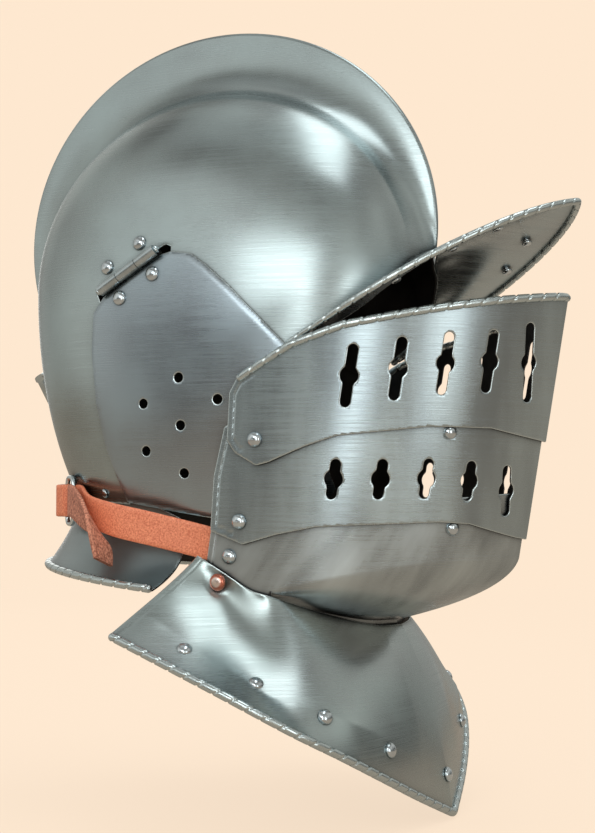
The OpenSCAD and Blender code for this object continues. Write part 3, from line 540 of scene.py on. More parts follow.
brow_c, brow_bend, brow_v = np.array([-126.0, -20.0]), np.array([-116.0, -58.0]), np.array([-67.0, -79.0])
brow_line = [tuple(bez2(brow_c, brow_bend, brow_v, u)) for u in np.linspace(0, 1, 17)]
skull_outline = [(-160, 0), (-140, -12)] + brow_line + [
    (-54, -86), (-20, -70), (4, -58), (6, -16), (10.2, -14.6), (57, -42.7), (50, -56), (48, -80),
    (45, -108), (38, -134), (28, -170), (60, -168), (120, -156), (200, -156), (200, 200), (-160, 200)]
skull_trim = 0.3
skull_keep = inside(skull_grid[..., 1], skull_grid[..., 2], skull_outline) - skull_trim
skull = plate("skull_shell", skull_grid, skull_keep)
for coat in (skull_steel, black_inside_and_shadow_line, edge_steel):
    skull.data.materials.append(coat)
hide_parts("skull")
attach(skull, "skull")


# Peak: a pointed brim that runs out from the brow and rises to the front. It is ruled
# between the brow and the outer edge, and it shows the flattened ends of its rivets below.
def unit_normals(grid):
    """Unit normals of a grid of points"""
    n = np.cross(np.gradient(grid, axis=0), np.gradient(grid, axis=1))
    return n / np.maximum(np.linalg.norm(n, axis=2, keepdims=True), 1e-9)


def roped_edge(name, path, width=5.0, pitch=10.0, cut=0.8):
    """Rolled edge of a plate, filed with slanting nicks all along; path is in millimetres"""
    path = np.array(path, float)
    far = np.concatenate([[0], np.cumsum(np.linalg.norm(np.diff(path, axis=0), axis=1))])
    step, corners, nick_w = 0.5, 20, 0.6
    run = np.linspace(0, far[-1], int(far[-1] / step))
    mid = np.stack([np.interp(run, far, path[:, k]) for k in range(3)], -1)
    for _ in range(6):
        mid[1:-1] = mid[:-2] * 0.25 + mid[1:-1] * 0.5 + mid[2:] * 0.25
    ahead = np.gradient(mid, axis=0)
    ahead /= np.linalg.norm(ahead, axis=1, keepdims=True)
    up = np.array((0, 0, 1.0)) - ahead * ahead[:, 2:]
    up /= np.linalg.norm(up, axis=1, keepdims=True)
    side = np.cross(ahead, up)
    turns = np.arange(corners) / corners
    rows = []
    for k in range(len(run)):
        phase = (run[k] / pitch + turns) % 1
        nick = cut * np.exp(-(np.minimum(phase, 1 - phase) * pitch / nick_w) ** 2)
        end = min(run[k], run[-1] - run[k])
        close = math.sqrt(max(0.02, 1 - max(0, 1 - end / (width / 2)) ** 2))
        radius = (width / 2 - nick) * close
        angle = turns * 2 * math.pi
        rows.append(mid[k] + up[k] * (np.cos(angle) * radius)[:, None]
                    + side[k] * (np.sin(angle) * radius)[:, None])
    faces = []
    for k in range(len(run) - 1):
        for m in range(corners):
            a, b = k * corners + m, k * corners + (m + 1) % corners
            faces.append((a, a + corners, b + corners, b))
    last = (len(run) - 1) * corners
    faces.append(tuple(range(corners)))
    faces.append(tuple(last + m for m in reversed(range(corners))))
    mesh = bpy.data.meshes.new(name)
    mesh.from_pydata(np.concatenate(rows) / 1000, [], faces)
    mesh.shade_smooth()
    rope = bpy.data.objects.new(name, mesh)
    bpy.context.scene.collection.objects.link(rope)
    return rope


peak_tip_y, peak_tip_z, peak_w, peak_arc = 219, 8, 84, 114
peak_r = (peak_arc ** 2 + peak_w ** 2) / (2 * peak_w)
peak_k = math.asin(peak_arc / peak_r)
peak_rise = (peak_tip_z - brow_v[1]) / (peak_tip_y + brow_v[0])
peak_bow, peak_tail, peak_tail_l = 0.82, 0.18, 34


def peak_out(s):
    """Outer edge of the peak, from its tip at 0: an arc, and a straight tail at the temple"""
    t = peak_k * (1 - min(1, s / peak_bow))
    x = peak_r * math.cos(t) - (peak_r - peak_w)
    y = -peak_tip_y + peak_arc - peak_r * math.sin(t) + max(0, s - peak_bow) / peak_tail * peak_tail_l
    return np.array([-x, y, peak_tip_z - (y + peak_tip_y) * peak_rise])


def peak_in(s):
    """Inner edge of the peak, close along the brow"""
    if s == 0:
        return np.array([0, pole_y - bowl_l - 0.9, brow_c[1]])
    p = bez2(brow_c, brow_bend, brow_v, s ** 1.4 * 0.93)
    return np.array([-float(side_x(p[0], p[1], 0.5)), p[0], p[1]])


peak_half = np.array([[peak_in(s) * (1 - t) + peak_out(s) * t for t in np.linspace(0, 1, 61)]
                      for s in np.linspace(0, 1, 121)])
peak_grid = mirrored(peak_half)
peak_notch = [(-26, -118), (-25, -122), (-14, -127), (-7, -130), (-2, -131.6), (2, -131.6), (7, -130),
              (14, -127), (25, -122), (26, -118), (26, -98), (-26, -98)]
peak_top = peak_grid + unit_normals(peak_grid) * sheet_t
peak = plate("peak_brim", peak_top, -inside(peak_grid[..., 0], peak_grid[..., 1], peak_notch),
             heart=(0, -150, -300))
peak_steel = brushed_steel("peak steel", (0.50, 0.60, 0.63), (0.41, 0.46, 0.48), 0.22, 0.34,
                           (24, 24, 900))
for coat in (peak_steel, peak_steel, edge_steel):
    peak.data.materials.append(coat)
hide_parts("peak")
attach(peak, "skull")
peak_edge = [peak_out(s) + (0, 0, -0.6) for s in np.linspace(0, 1, 161)]
peak_rope = roped_edge("peak_rope", [p * (-1, 1, 1) for p in peak_edge[:0:-1]] + peak_edge, 4.2)
peak_rope.data.materials.append(edge_steel)
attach(peak_rope, "skull")


# Neck guard: a steel plate riveted inside the back of the skull, flared over the neck and
# ended by a roped roll.
lap_gap, nape_in = 0.8, 1.6
nape_top, nape_dip, nape_lap = -144, 34, 0.25
guard_w, guard_y, guard_l, guard_z, guard_drop = 99, 8, 118, -206, 12


def nape_line(z, s, off):
    """Place on the skull's wall at a height, s running from the back to the side"""
    q0 = (z - pole_z) / (foot_z - pole_z)
    q = 1 - (1 - q0) * math.sin(math.pi / 2 * s) ** 2.2
    ze = pole_z + (z - pole_z) / q
    ye = bowl_l * math.sqrt(max(0, 1 - ((ze - bowl_z) / bowl_drop) ** 2))
    wide = (skull_w + off) * max(0, 1 - q ** egg_inner) ** egg_outer
    return np.array([-wide, pole_y + (q + off / bowl_l) * ye, z])


def nape_pt(s, t):
    """Place on the guard: it lies along the skull's wall first, then curves out to its rim"""
    turn = math.pi / 2 * s
    z0 = nape_top - nape_dip * (1 - math.cos(turn))
    inset = -sheet_t - lap_gap - nape_in
    if t < nape_lap:
        return nape_line(z0 - 48 * t, s, inset)
    rim = np.array([-guard_w * math.sin(turn), guard_y + guard_l * math.cos(turn),
                    guard_z - guard_drop * (1 - math.cos(turn))])
    flare = (t - nape_lap) / (1 - nape_lap)
    return bez2(nape_line(z0 - 12, s, inset), nape_line(z0 - 28, s, 0), rim, flare)


nape_grid = mirrored(np.array([[nape_pt(s, t) for t in np.linspace(0, 1, 57)]
                               for s in np.linspace(0, 1, 81)]))
nape = plate("neck_guard", nape_grid, heart=(0, 0, -150))
nape_steel = brushed_steel("nape steel", (0.40, 0.48, 0.50), (0.33, 0.37, 0.38), 0.28, 0.40)
for coat in (nape_steel, black_inside_and_shadow_line, edge_steel):
    nape.data.materials.append(coat)
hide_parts("nape_plate")
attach(nape, "skull")
nape_rope = roped_edge("nape_rope", nape_grid[:, -1])
nape_rope.data.materials.append(edge_steel)
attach(nape_rope, "skull")

# Plume holder: a small steel plate with narrowed ends, riveted on the skull below the end of
# the comb, that carries a tapered tube for a feather.
plume_half_w, plume_lift, plume_t = 9, 2.1, 1.4
plume_turns, plume_widths = (174.5, 176, 178, 190, 203, 206), (0.45, 0.85, 1, 1, 0.8, 0.45)
plume_rows = []
for a in np.linspace(plume_turns[0], plume_turns[-1], 61):
    x = np.linspace(-1, 1, 33) * plume_half_w * np.interp(a, plume_turns, plume_widths)
    turn = math.radians(a)
    tilt = np.arccos((np.abs(x) / skull_w) ** (1 / side_power))
    r = (bowl_reach(turn) + plume_lift) * np.sin(tilt) ** height_power
    plume_rows.append(np.stack([x, pole_y - r * math.cos(turn), pole_z + r * math.sin(turn)], -1))
plume = plate("plume_holder", np.array(plume_rows), thick=plume_t, heart=(0, 0, -90))
plume_steel = brushed_steel("plume steel", (0.60, 0.68, 0.70), (0.50, 0.54, 0.55), 0.2, 0.3)
for coat in (plume_steel, plume_steel, edge_steel):
    plume.data.materials.append(coat)
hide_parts("plume_plate")
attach(plume, "skull")

# Cheek pieces: a steel patch of the same egg lying over the skull on each side, hinged above
# the ear, with a ring of five holes round a middle one. Their edges are filed down a little.
cheek_line = [(11, -21.4), (5, -20), (-8, -22), (-18, -29), (-33, -42), (-50, -59), (-68, -78), (-74, -100),
              (-82, -130), (-86, -160), (-78, -172), (-20, -177), (37, -168), (50, -136), (56, -110),
              (59, -78), (58, -54), (51, -45.4)]
cy, cz = np.meshgrid(np.linspace(-90, 62, 109), np.linspace(-180, -16, 117), indexing="ij")
cheek_keep = inside(cy, cz, cheek_line)
cheek_filed, cheek_filed_w = 0.7, 2.2
cheek_fall = cheek_filed * np.clip(1 - cheek_keep / cheek_filed_w, 0, 1)
ear_y, ear_z, ear_ring, ear_hole_r = -4, -123, 28, 3.5
for k in range(6):
    turn = math.radians(k * 60 - 92)
    far = ear_ring if k < 5 else 0
    hole = np.hypot(cy - ear_y - far * math.cos(turn), cz - ear_z - far * math.sin(turn)) - ear_hole_r
    cheek_keep = np.minimum(cheek_keep, hole)
cheek_grid = np.stack([-side_x(cy, cz, lap_gap + sheet_t) + cheek_fall, cy, cz], -1)
# The cheek steel is a cooler purple-grey tone, and it is also painted darker than the skull steel as painted
# shade, so that the cheek stands apart from the skull.
cheek_steel_and_shade = brushed_steel("cheek steel and painted shade", (0.40, 0.49, 0.54), (0.34, 0.39, 0.43), 0.24, 0.34)
for side, sign in (("right", 1), ("left", -1)):
    cheek = plate("cheek_sheet_" + side, cheek_grid * (sign, 1, 1), cheek_keep, heart=(0, 0, -100))
    for coat in (cheek_steel_and_shade, black_inside_and_shadow_line, edge_steel):
        cheek.data.materials.append(coat)
    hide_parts("cheek_" + side)
    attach(cheek, "cheek_" + side)


# Upper lame of the buffe: a tall steel plate bent to a keel in front, with keyhole slots to
# see through and a roped upper edge. All the plates of the buffe lean back with the keel, and
# a groove is punched along their rear edges.
buffe_y, buffe_z = -54, -132
buffe_w, buffe_l = 91.5, 143
bow_y = 4
keel_lean = math.radians(9.5)
lean_c, lean_s = math.cos(keel_lean), math.sin(keel_lean)
groove_depth, groove_in, groove_w, groove_from = 0.38, 3.2, 0.45, 6
slot_first, slot_pitch, slot_eye_r, slot_half_w = 18.5, 9.3, 5.8, 3.5
last_slot_l, last_slot_lean = 1.27, 8
catch_hole_r = 3.9


def to_helmet(p):
    """From the buffe's own frame, [out, rear, up], to the helmet's"""
    x, y, z = p[..., 0], p[..., 1], p[..., 2]
    return np.stack([x, buffe_y + y * lean_c - z * lean_s, buffe_z + y * lean_s + z * lean_c], -1)


def arc_size(w, l):
    """Radius of one side of a plate w wide and l long, and the arc angle at its keel"""
    r = ((l + bow_y) ** 2 + w * w) / (2 * w)
    return r, math.degrees(math.asin((l + bow_y) / r))


def arc_pt(w, l, a):
    """Place on the plan of a plate at the angle a, as [out, rear]"""
    r = arc_size(w, l)[0]
    return -(r * math.cos(math.radians(a)) - (r - w)), bow_y - r * math.sin(math.radians(a))


def plan_line(w, l, rear):
    """Plan of one side of a plate from the keel to the rear: places and arc angles"""
    r, k = arc_size(w, l)
    arc = np.linspace(k, 0, int(math.radians(k) * r / 1.3))
    back = np.linspace(bow_y, rear, int((rear - bow_y) / 0.5))[1:]
    spots = [arc_pt(w, l, a) for a in arc] + [(-w, y) for y in back]
    return np.array(spots), np.concatenate([arc, -np.degrees((back - bow_y) / r)])


def keyholes(heights, length):
    """Row of slots from the keel to the rear, each as [arc angle, up, length, lean]; the last
    one is longer and leans"""
    last = len(heights) - 1
    return [(slot_first + slot_pitch * i, z, length * (last_slot_l if i == last else 1) - 2 * slot_half_w,
             math.radians(last_slot_lean if i == last else 0)) for i, z in enumerate(heights)]


def groove(rear, keep):
    """Depth of the line punched at the rear, where the distance to the outline is keep"""
    edge = np.where(rear > groove_from, keep, 9)
    return groove_depth * np.exp(-((edge - groove_in) / groove_w) ** 2)


def catch_hole(w, l, angle, up, stud):
    """Distance from the hole for a catch, which is at [rear, up]"""
    r = arc_size(w, l)[0]
    turn = math.asin((bow_y - stud[0]) / r)
    return np.hypot(r * np.sin(np.radians(angle) - turn), up - stud[1]) - catch_hole_r


def lame_grid(w, l, line, low, high, slots, rear=24.0, stud=None, cell=1.3):
    """Wall of a plate and its distance to the outline and to the slots; the hole for a catch
    is on the right side only"""
    spots, angle = plan_line(w, l, rear)
    up = np.linspace(low, high, int((high - low) / cell))
    half = np.zeros((len(spots), len(up), 3))
    half[..., :2] = spots[:, None]
    half[..., 2] = up
    keep = inside(half[..., 1], half[..., 2], line)
    half[..., 0] += groove(half[..., 1], keep)
    r = arc_size(w, l)[0]
    for a, z, length, lean in slots:
        e = r * np.sin(np.radians(angle[:, None] - a))
        d = up - z
        c, s = math.cos(lean), math.sin(lean)
        e, d = e * c + d * s, -e * s + d * c
        eye = np.hypot(e, d) - slot_eye_r
        slot = np.hypot(e, np.maximum(0, np.abs(d) - length / 2)) - slot_half_w
        keep = np.minimum(keep, np.minimum(eye, slot))
    right = keep
    if stud:
        right = np.minimum(keep, catch_hole(w, l, angle[:, None], up, stud))
    return to_helmet(mirrored(half)), np.concatenate([keep[:0:-1], right])


upper_line = [(-160, 110), (-140, 108), (-114, 99), (-92, 91), (-68, 82), (-41, 72), (-12, 56), (10, 38),
              (17, 32), (20, 24), (17, -3), (11, -9), (-3, -14), (-10, -11), (-29, 1), (-46, 10), (-75, 18),
              (-92, 23), (-120, 27), (-140, 24), (-160, 21)]
sights = keyholes((44, 52, 59, 64, 67), 37)
upper_grid, upper_keep = lame_grid(buffe_w, buffe_l, upper_line, -16, 110, sights)
upper = plate("upper_sheet", upper_grid, upper_keep, heart=(0, -60, -110))
buffe_steel = brushed_steel("buffe steel", (0.52, 0.62, 0.65), (0.32, 0.38, 0.41), 0.22, 0.32,
                            cloud=(26, 26, 6))
for coat in (buffe_steel, black_inside_and_shadow_line, edge_steel):
    upper.data.materials.append(coat)
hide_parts("upper_lame")
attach(upper, "upper_lame")
top_y = (-150, -140, -114, -92, -68, -41, -12, 10, 17)
top_z = (109, 108, 99, 91, 82, 72, 56, 38, 32)
rim_plan = plan_line(buffe_w - 0.8, buffe_l - 0.9, top_y[-1])[0]
rim_half = [np.array([x, y, np.interp(y, top_y, top_z)]) for x, y in rim_plan]
upper_edge = to_helmet(np.array([p * (-1, 1, 1) for p in rim_half[:0:-1]] + rim_half))
upper_rope = roped_edge("upper_rope", upper_edge)
upper_rope.data.materials.append(edge_steel)
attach(upper_rope, "upper_lame")

# Middle lame: a lower steel plate that nests behind the upper one and turns on its own pair
# of pivots. It has short keyhole slots over the mouth, and a hole for the upper catch.
step, keel_step = sheet_t + lap_gap, 1.12
middle_w, middle_l = buffe_w - step, buffe_l - step * keel_step
middle_line = [(-160, 37), (-141, 36), (-93, 33), (-50, 22), (-12, 14), (10, 10), (21, 4), (23, -25),
               (20, -56), (-1, -60), (-20, -51), (-41, -43), (-64, -38), (-103, -30), (-116, -29),
               (-136, -34), (-160, -37)]
breaths = keyholes((-15, -11, -7, -5, -8), 24)
upper_stud = (-101, 20.6)
middle_grid, middle_keep = lame_grid(middle_w, middle_l, middle_line, -62, 38, breaths, 25, upper_stud)
middle = plate("middle_sheet", middle_grid, middle_keep, heart=(0, -60, -110))
for coat in (buffe_steel, black_inside_and_shadow_line, edge_steel):
    middle.data.materials.append(coat)
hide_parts("middle_lame")
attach(middle, "middle_lame")

# Chin plate: the steel plate that carries the lames. Its wall follows them, and its lower part
# was hammered in to the throat and ends in a short collar. Its keel runs on under the chin.
chin_w, chin_l = middle_w - step, middle_l - step * keel_step
chin_line = [(-160, -4), (-141, -7), (-112, -15), (-93, -21), (-50, -33), (-12, -38), (18, -38), (21, -44),
             (20, -92), (-8, -94), (-30, -85.5), (-60, -72), (-100, -57), (-160, -48)]


def through(points, s):
    """Smooth curve through a list of points, s from 0 to 1"""
    p = np.array(points, float)
    n = len(p) - 1
    i = min(n - 1, int(s * n))
    u = s * n - i
    a, b, c, d = p[max(0, i - 1)], p[i], p[i + 1], p[min(n, i + 2)]
    return 0.5 * (2 * b + (c - a) * u + (2 * a - 5 * b + 4 * c - d) * u ** 2
                  + (3 * b - a - 3 * c + d) * u ** 3)


neck = [(0, -106, -239), (-34, -99, -237), (-60, -80, -231), (-76, -56, -224), (-83, -40, -219)]
low_y, low_z = (-140, -100, -60, -30, -15), (-46, -54, -68, -80, -87)
chin_k = arc_size(chin_w, chin_l)[1]
throat_rear = 9
middle_stud = (-108, -33.4)
wall_n, throat_n, collar = 62, 40, (0.12, 0.25, 0.5, 0.75, 1)
chin_rows, chin_keep, stud_hole = [], [], []
for (x, y), a in zip(*plan_line(chin_w, chin_l, 22)):
    front = a >= throat_rear
    low = np.interp(y, low_y, low_z) if front else -95
    z = np.linspace(-3, low, wall_n)
    keep = inside(z * 0 + y, z, chin_line)
    row = list(to_helmet(np.stack([x + groove(y, keep), z * 0 + y, z], -1)))
    if front:
        s = (chin_k - a) / (chin_k - throat_rear)
        end = through(neck, s)
        bend = to_helmet(np.array([x * 0.99, y * 0.98, -68 - 22 * s]))
        start = to_helmet(np.array([x, y, low]))
        row += [bez2(start, bend, end, t) for t in np.linspace(0, 1, throat_n + 1)[1:]]
        row += [end + np.array([0, 0.5, -4.5]) * t for t in collar]
    else:
        row += [row[-1] + np.array([0, 0, -0.01 * k]) for k in range(throat_n + len(collar))]
    chin_rows.append(row)
    chin_keep.append(list(keep) + [1.0 if front else -1.0] * (throat_n + len(collar)))
    stud_hole.append(catch_hole(chin_w, chin_l, a, z, middle_stud))
chin_grid = mirrored(np.array(chin_rows))
chin_keep = np.array(chin_keep)
for row in chin_keep:
    if row[-1] > 0:
        row[wall_n - 1] = max(row[wall_n - 1], 0.5)
chin_full = np.concatenate([chin_keep[:0:-1], chin_keep])
chin_right = chin_full[len(chin_keep) - 1:, :wall_n]
chin_right[:] = np.minimum(chin_right, stud_hole)
no_throat = np.zeros((len(chin_full) - 1, len(chin_full[0]) - 1), bool)
no_throat[:, wall_n - 1:] = (chin_full[:-1, -1:] < 0) | (chin_full[1:, -1:] < 0)
chin = plate("chin_sheet", chin_grid, chin_full, heart=(0, -60, -190), gap=no_throat)
chin_steel = brushed_steel("chin steel", (0.60, 0.68, 0.70), (0.29, 0.33, 0.35), 0.24, 0.36,
                           cloud=(42, 42, 9), cloud_turn=(0.6, 0, 0))
for coat in (chin_steel, black_inside_and_shadow_line, edge_steel):
    chin.data.materials.append(coat)
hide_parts("chin_plate")
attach(chin, "buffe")

# Gorget plate: a steel plate that hangs from two copper pivots on the chin plate and spreads
# over the collar, with a roped lower edge and a line punched along its rear edges.
gorget_w, gorget_l = chin_w + step, chin_l + step * keel_step


def on_gorget(y, z):
    """Place at the gorget's top, which lies against the chin plate; y and z in the buffe's frame"""
    a = math.degrees(math.asin(max(0, bow_y - y) / arc_size(gorget_w, gorget_l)[0]))
    return to_helmet(np.array([arc_pt(gorget_w, gorget_l, a)[0], y, z]))


gorget_top = [(0, -109, -242), (-33, -103, -240), (-60, -83.5, -232), on_gorget(-24, -87),
              on_gorget(-10, -85.5), on_gorget(8, -79), on_gorget(26, -72)]
gorget_rim = [(0, -141, -352), (-40, -133.5, -336), (-76, -124, -319.5), (-106, -111.5, -304),
              (-129, -92, -288.7), (-141, -54, -268.3), (-135, 15, -241.8)]
side_rows, rear_rows, rear_from = 131, 25, 0.93
gorget_run = np.concatenate([np.linspace(0, rear_from, side_rows),
                             np.linspace(rear_from, 1, rear_rows)[1:]])
gorget_rows = []
for s in gorget_run:
    a, c = through(gorget_top, s), through(gorget_rim, s)
    m = np.interp(s, (0, 0.15, 0.42, 0.72, 1), (0.72, 0.87, 0.87, -0.08, -0.08))
    k = np.interp(s, (0.42, 0.72), (0.38, 0.45))
    b = np.array([a[0] * (1 - m) + c[0] * m, a[1] * (1 - m) + c[1] * m, a[2] * (1 - k) + c[2] * k])
    gorget_rows.append([bez2(a, b, c, t) for t in np.linspace(0, 1, 67)])
gorget_half = np.array(gorget_rows)
for _ in range(8):
    gorget_half[1:-1] = gorget_half[:-2] * 0.25 + gorget_half[1:-1] * 0.5 + gorget_half[2:] * 0.25
for _ in range(30):
    gorget_half[1:-1, 0] = (gorget_half[:-2, 0] + 2 * gorget_half[1:-1, 0] + gorget_half[2:, 0]) / 4
# The sheet is evened out like a skin, but not at the keel, the pivots and the row of rivets.
gorget_pivot = (-88, -31, -213)
pivot_seat, rivet_row = 9, 24
from_pivot = np.linalg.norm(gorget_half - gorget_pivot, axis=2, keepdims=True)
from_rim = np.linalg.norm(gorget_half - gorget_half[:, -1:], axis=2, keepdims=True)
soft = np.clip((np.arange(len(gorget_half)) / side_rows - 0.14) / 0.3, 0, 1)[:, None, None]
soft = soft * np.clip((from_pivot - pivot_seat) / 22, 0, 1)
soft = soft * np.clip((from_rim - rivet_row) / 20, 0, 1)
soft[[0, -1]] = 0
soft[:, [0, -1]] = 0
for _ in range(500):
    drift = (np.roll(gorget_half, 1, 0) + np.roll(gorget_half, -1, 0) + np.roll(gorget_half, 1, 1)
             + np.roll(gorget_half, -1, 1)) / 4 - gorget_half
    gorget_half += 0.9 * soft * drift
# Its rear edge is drawn towards a straight line, with less and less of the sheet before it.
rear_line = gorget_half[-1]
rear_l = np.linalg.norm(rear_line[-1] - rear_line[0])
rear_far = np.linalg.norm(rear_line - rear_line[0], axis=1)[:, None] / rear_l
straight = rear_line[0] * (1 - rear_far) + rear_line[-1] * rear_far - rear_line
rear_share = np.clip((np.linspace(0, 1, len(gorget_half)) - 0.72) / 0.28, 0, 1)
gorget_half += 0.85 * (rear_share ** 2 * (3 - 2 * rear_share))[:, None, None] * straight
line_depth, line_in, line_w = 0.4, 3.5, 0.6
from_rear = np.linalg.norm(gorget_half - gorget_half[-1:], axis=2)
punched = line_depth * np.exp(-((from_rear - line_in) / line_w) ** 2)
gorget_half -= unit_normals(gorget_half) * punched[..., None]
gorget_grid = mirrored(gorget_half)
gorget = plate("gorget_sheet", gorget_grid, heart=(0, -40, -290))
gorget_steel = brushed_steel("gorget steel", (0.50, 0.60, 0.60), (0.41, 0.45, 0.46), 0.22, 0.32)
for coat in (gorget_steel, black_inside_and_shadow_line, edge_steel):
    gorget.data.materials.append(coat)
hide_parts("gorget_plate")
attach(gorget, "gorget")
gorget_rope = roped_edge("gorget_rope", gorget_grid[:, -1])
gorget_rope.data.materials.append(edge_steel)
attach(gorget_rope, "gorget")


# Straps: orange dyed leather, riveted to the chin plate and led round the neck to a wire ring
# near the nape. The right one folds back through the ring and shows its rough flesh side.
strap_w, strap_t = 20.0, 2.5


def strap_path(run, up, n):
    """List of [place, across] along the run, smoothed"""
    path = []
    for t in np.linspace(0, 1, n):
        path.append((through(run, t), through(up, t) if len(up) > 1 else np.array(up[0], float)))
    return path


def ribbon(name, path):
    """Strap with rounded edges along a list of [place, across]"""
    flat, corner, bevel = strap_w / 2 - 0.9, strap_w / 2 - 0.25, strap_t / 2 - 0.3
    mids = np.array([p for p, _ in path])
    ups = np.array([u / np.linalg.norm(u) for _, u in path])
    far = np.concatenate([[0], np.cumsum(np.linalg.norm(np.diff(mids, axis=0), axis=1))])
    run = np.linspace(0, far[-1], int(far[-1]))
    mids = np.stack([np.interp(run, far, mids[:, k]) for k in range(3)], -1)
    ups = np.stack([np.interp(run, far, ups[:, k]) for k in range(3)], -1)
    for _ in range(3):
        mids[1:-1] = mids[:-2] * 0.25 + mids[1:-1] * 0.5 + mids[2:] * 0.25
    ahead = np.gradient(mids, axis=0)
    ahead /= np.linalg.norm(ahead, axis=1, keepdims=True)
    ups /= np.linalg.norm(ups, axis=1, keepdims=True)
    out = np.cross(ahead, ups)
    out /= np.linalg.norm(out, axis=1, keepdims=True)
    outline = [(a / 8 * flat, strap_t / 2) for a in range(-8, 9, 2)]
    outline += [(corner, bevel), (strap_w / 2, 0), (corner, -bevel)]
    outline += [(a / 8 * flat, -strap_t / 2) for a in range(8, -9, -2)]
    outline += [(-corner, -bevel), (-strap_w / 2, 0), (-corner, bevel)]
    count = len(outline)
    rows = [mids + ups * u + out * o for u, o in outline]
    rows = np.stack(rows, 1).reshape(-1, 3)
    faces = []
    for k in range(len(run) - 1):
        for m in range(count):
            a, b = k * count + m, k * count + (m + 1) % count
            faces.append((a, b, b + count, a + count))
    last = (len(run) - 1) * count
    faces.append(tuple(reversed(range(count))))
    faces.append(tuple(last + m for m in range(count)))
    mesh = bpy.data.meshes.new(name)
    mesh.from_pydata(rows / 1000, [], faces)
    mesh.shade_smooth()
    mesh.set_sharp_from_angle(angle=math.radians(50))
    strap = bpy.data.objects.new(name, mesh)
    bpy.context.scene.collection.objects.link(strap)
    return strap


ring_front = np.array([-63.6, 83.3, -167.5])
ring_out, ring_on = np.array([-0.76, 0.65, 0]), np.array([0.65, 0.76, 0])
ring_rear = ring_front + 13 * ring_on
ring_wire_r, fold_gap = 1.5, 0.3
fold_r = ring_wire_r + fold_gap + strap_t / 2
upright = np.array([0, 0, 1.0])


def fold(c, o, d):
    """Turn of a strap round the wire at c, from the side o round the side d"""
    turns = ((1, -0.35), (0.72, 0.72), (0, 1), (-0.72, 0.72), (-1, -0.35))
    return [(c + fold_r * (a * o + b * d), upright) for a, b in turns]


strap_start = [(-83.9, -38, -195.5), (-84.1, -14, -190), (-93, 14, -183), (-91, 38, -178.5)]
strap_in = ring_front - fold_r * ring_out
right_run = strap_start + [
    (-79.3, 61.5, -173.5), strap_in - ring_on * 10 + (0, 0, -0.5), strap_in - ring_on * 3]
right_up = [(0, 0, 1), (0, 0, 1), (0.05, 0, 1), (0.15, 0.05, 1), (0.25, 0.2, 1), (0.2, 0.2, 1),
            (0.1, 0.1, 1)]
right = ribbon("strap_right_leather",
               strap_path(right_run, right_up, 90) + fold(ring_front, -ring_out, ring_on))
left_run = [(-x, y, z) for x, y, z in strap_start] + [
    (80, 62, -173.5), (62, 86, -170), (36, 104, -168), (0, 112, -167), (-28, 108.5, -167),
    ring_rear + fold_r * ring_out + ring_on * 9, ring_rear + fold_r * ring_out + ring_on * 3]
left_fold = fold(ring_rear, ring_out, -ring_on)
left = ribbon("strap_left_leather", strap_path(left_run, [(0, 0, 1)], 160) + left_fold
              + [(left_fold[-1][0] + ring_on * 8, upright)])
tail_run = [ring_front + (fold_r + 0.1) * ring_out - ring_on * 1.6,
            ring_front + (fold_r + 0.6) * ring_out - ring_on * 10 + (0, 0, -0.5),
            (-86.2, 63, -174.5), (-97, 49, -181), (-100.5, 42, -191), (-101, 39.5, -203)]
tail_up = [(0, 0, 1), (0, 0, 1), (-0.1, 0.1, 1), (-0.6, 0.3, 1), (-1, 0.3, 0.6), (-1, 0, 0.3)]
tail = ribbon("strap_tail_leather", strap_path(tail_run, tail_up, 60))


def dyed_leather(name, dark, light, start, end, speckle, grain_size, grain_detail, smooth, rough,
                 relief, depth):
    """Leather with a fine speckle between two shades and a raised grain"""
    material, nodes, link, shader = blank(name)
    grain = noise(nodes, link, (grain_size, grain_size, grain_size), grain_detail)
    wear = noise(nodes, link, (speckle, speckle, speckle), 7)
    link(shaded(nodes, link, wear, dark, light, start, end), shader.inputs["Base Color"])
    link(ranged(nodes, link, grain, smooth, rough), shader.inputs["Roughness"])
    bump = nodes.new("ShaderNodeBump")
    bump.inputs["Strength"].default_value = relief
    bump.inputs["Distance"].default_value = depth
    link(grain, bump.inputs["Height"])
    link(bump.outputs["Normal"], shader.inputs["Normal"])
    return material


leather = dyed_leather("orange leather", (0.64, 0.13, 0.055), (1.0, 0.36, 0.18), 0.3, 0.7, 1000,
                       900, 4, 0.45, 0.65, 0.35, 0.0003)
flesh = dyed_leather("flesh side", (0.26, 0.07, 0.035), (0.80, 0.34, 0.21), 0.32, 0.68, 700,
                     700, 6, 0.75, 0.95, 0.6, 0.0006)
for strap, node, coat, paint_slot in ((right, "strap_right", leather, "strap_leather"),
                                      (left, "strap_left", leather, "strap_leather"),
                                      (tail, "strap_tail", flesh, "flesh_leather")):
    strap.data.materials.append(coat)
    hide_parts(node)
    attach(strap, "buffe")
    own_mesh(strap)

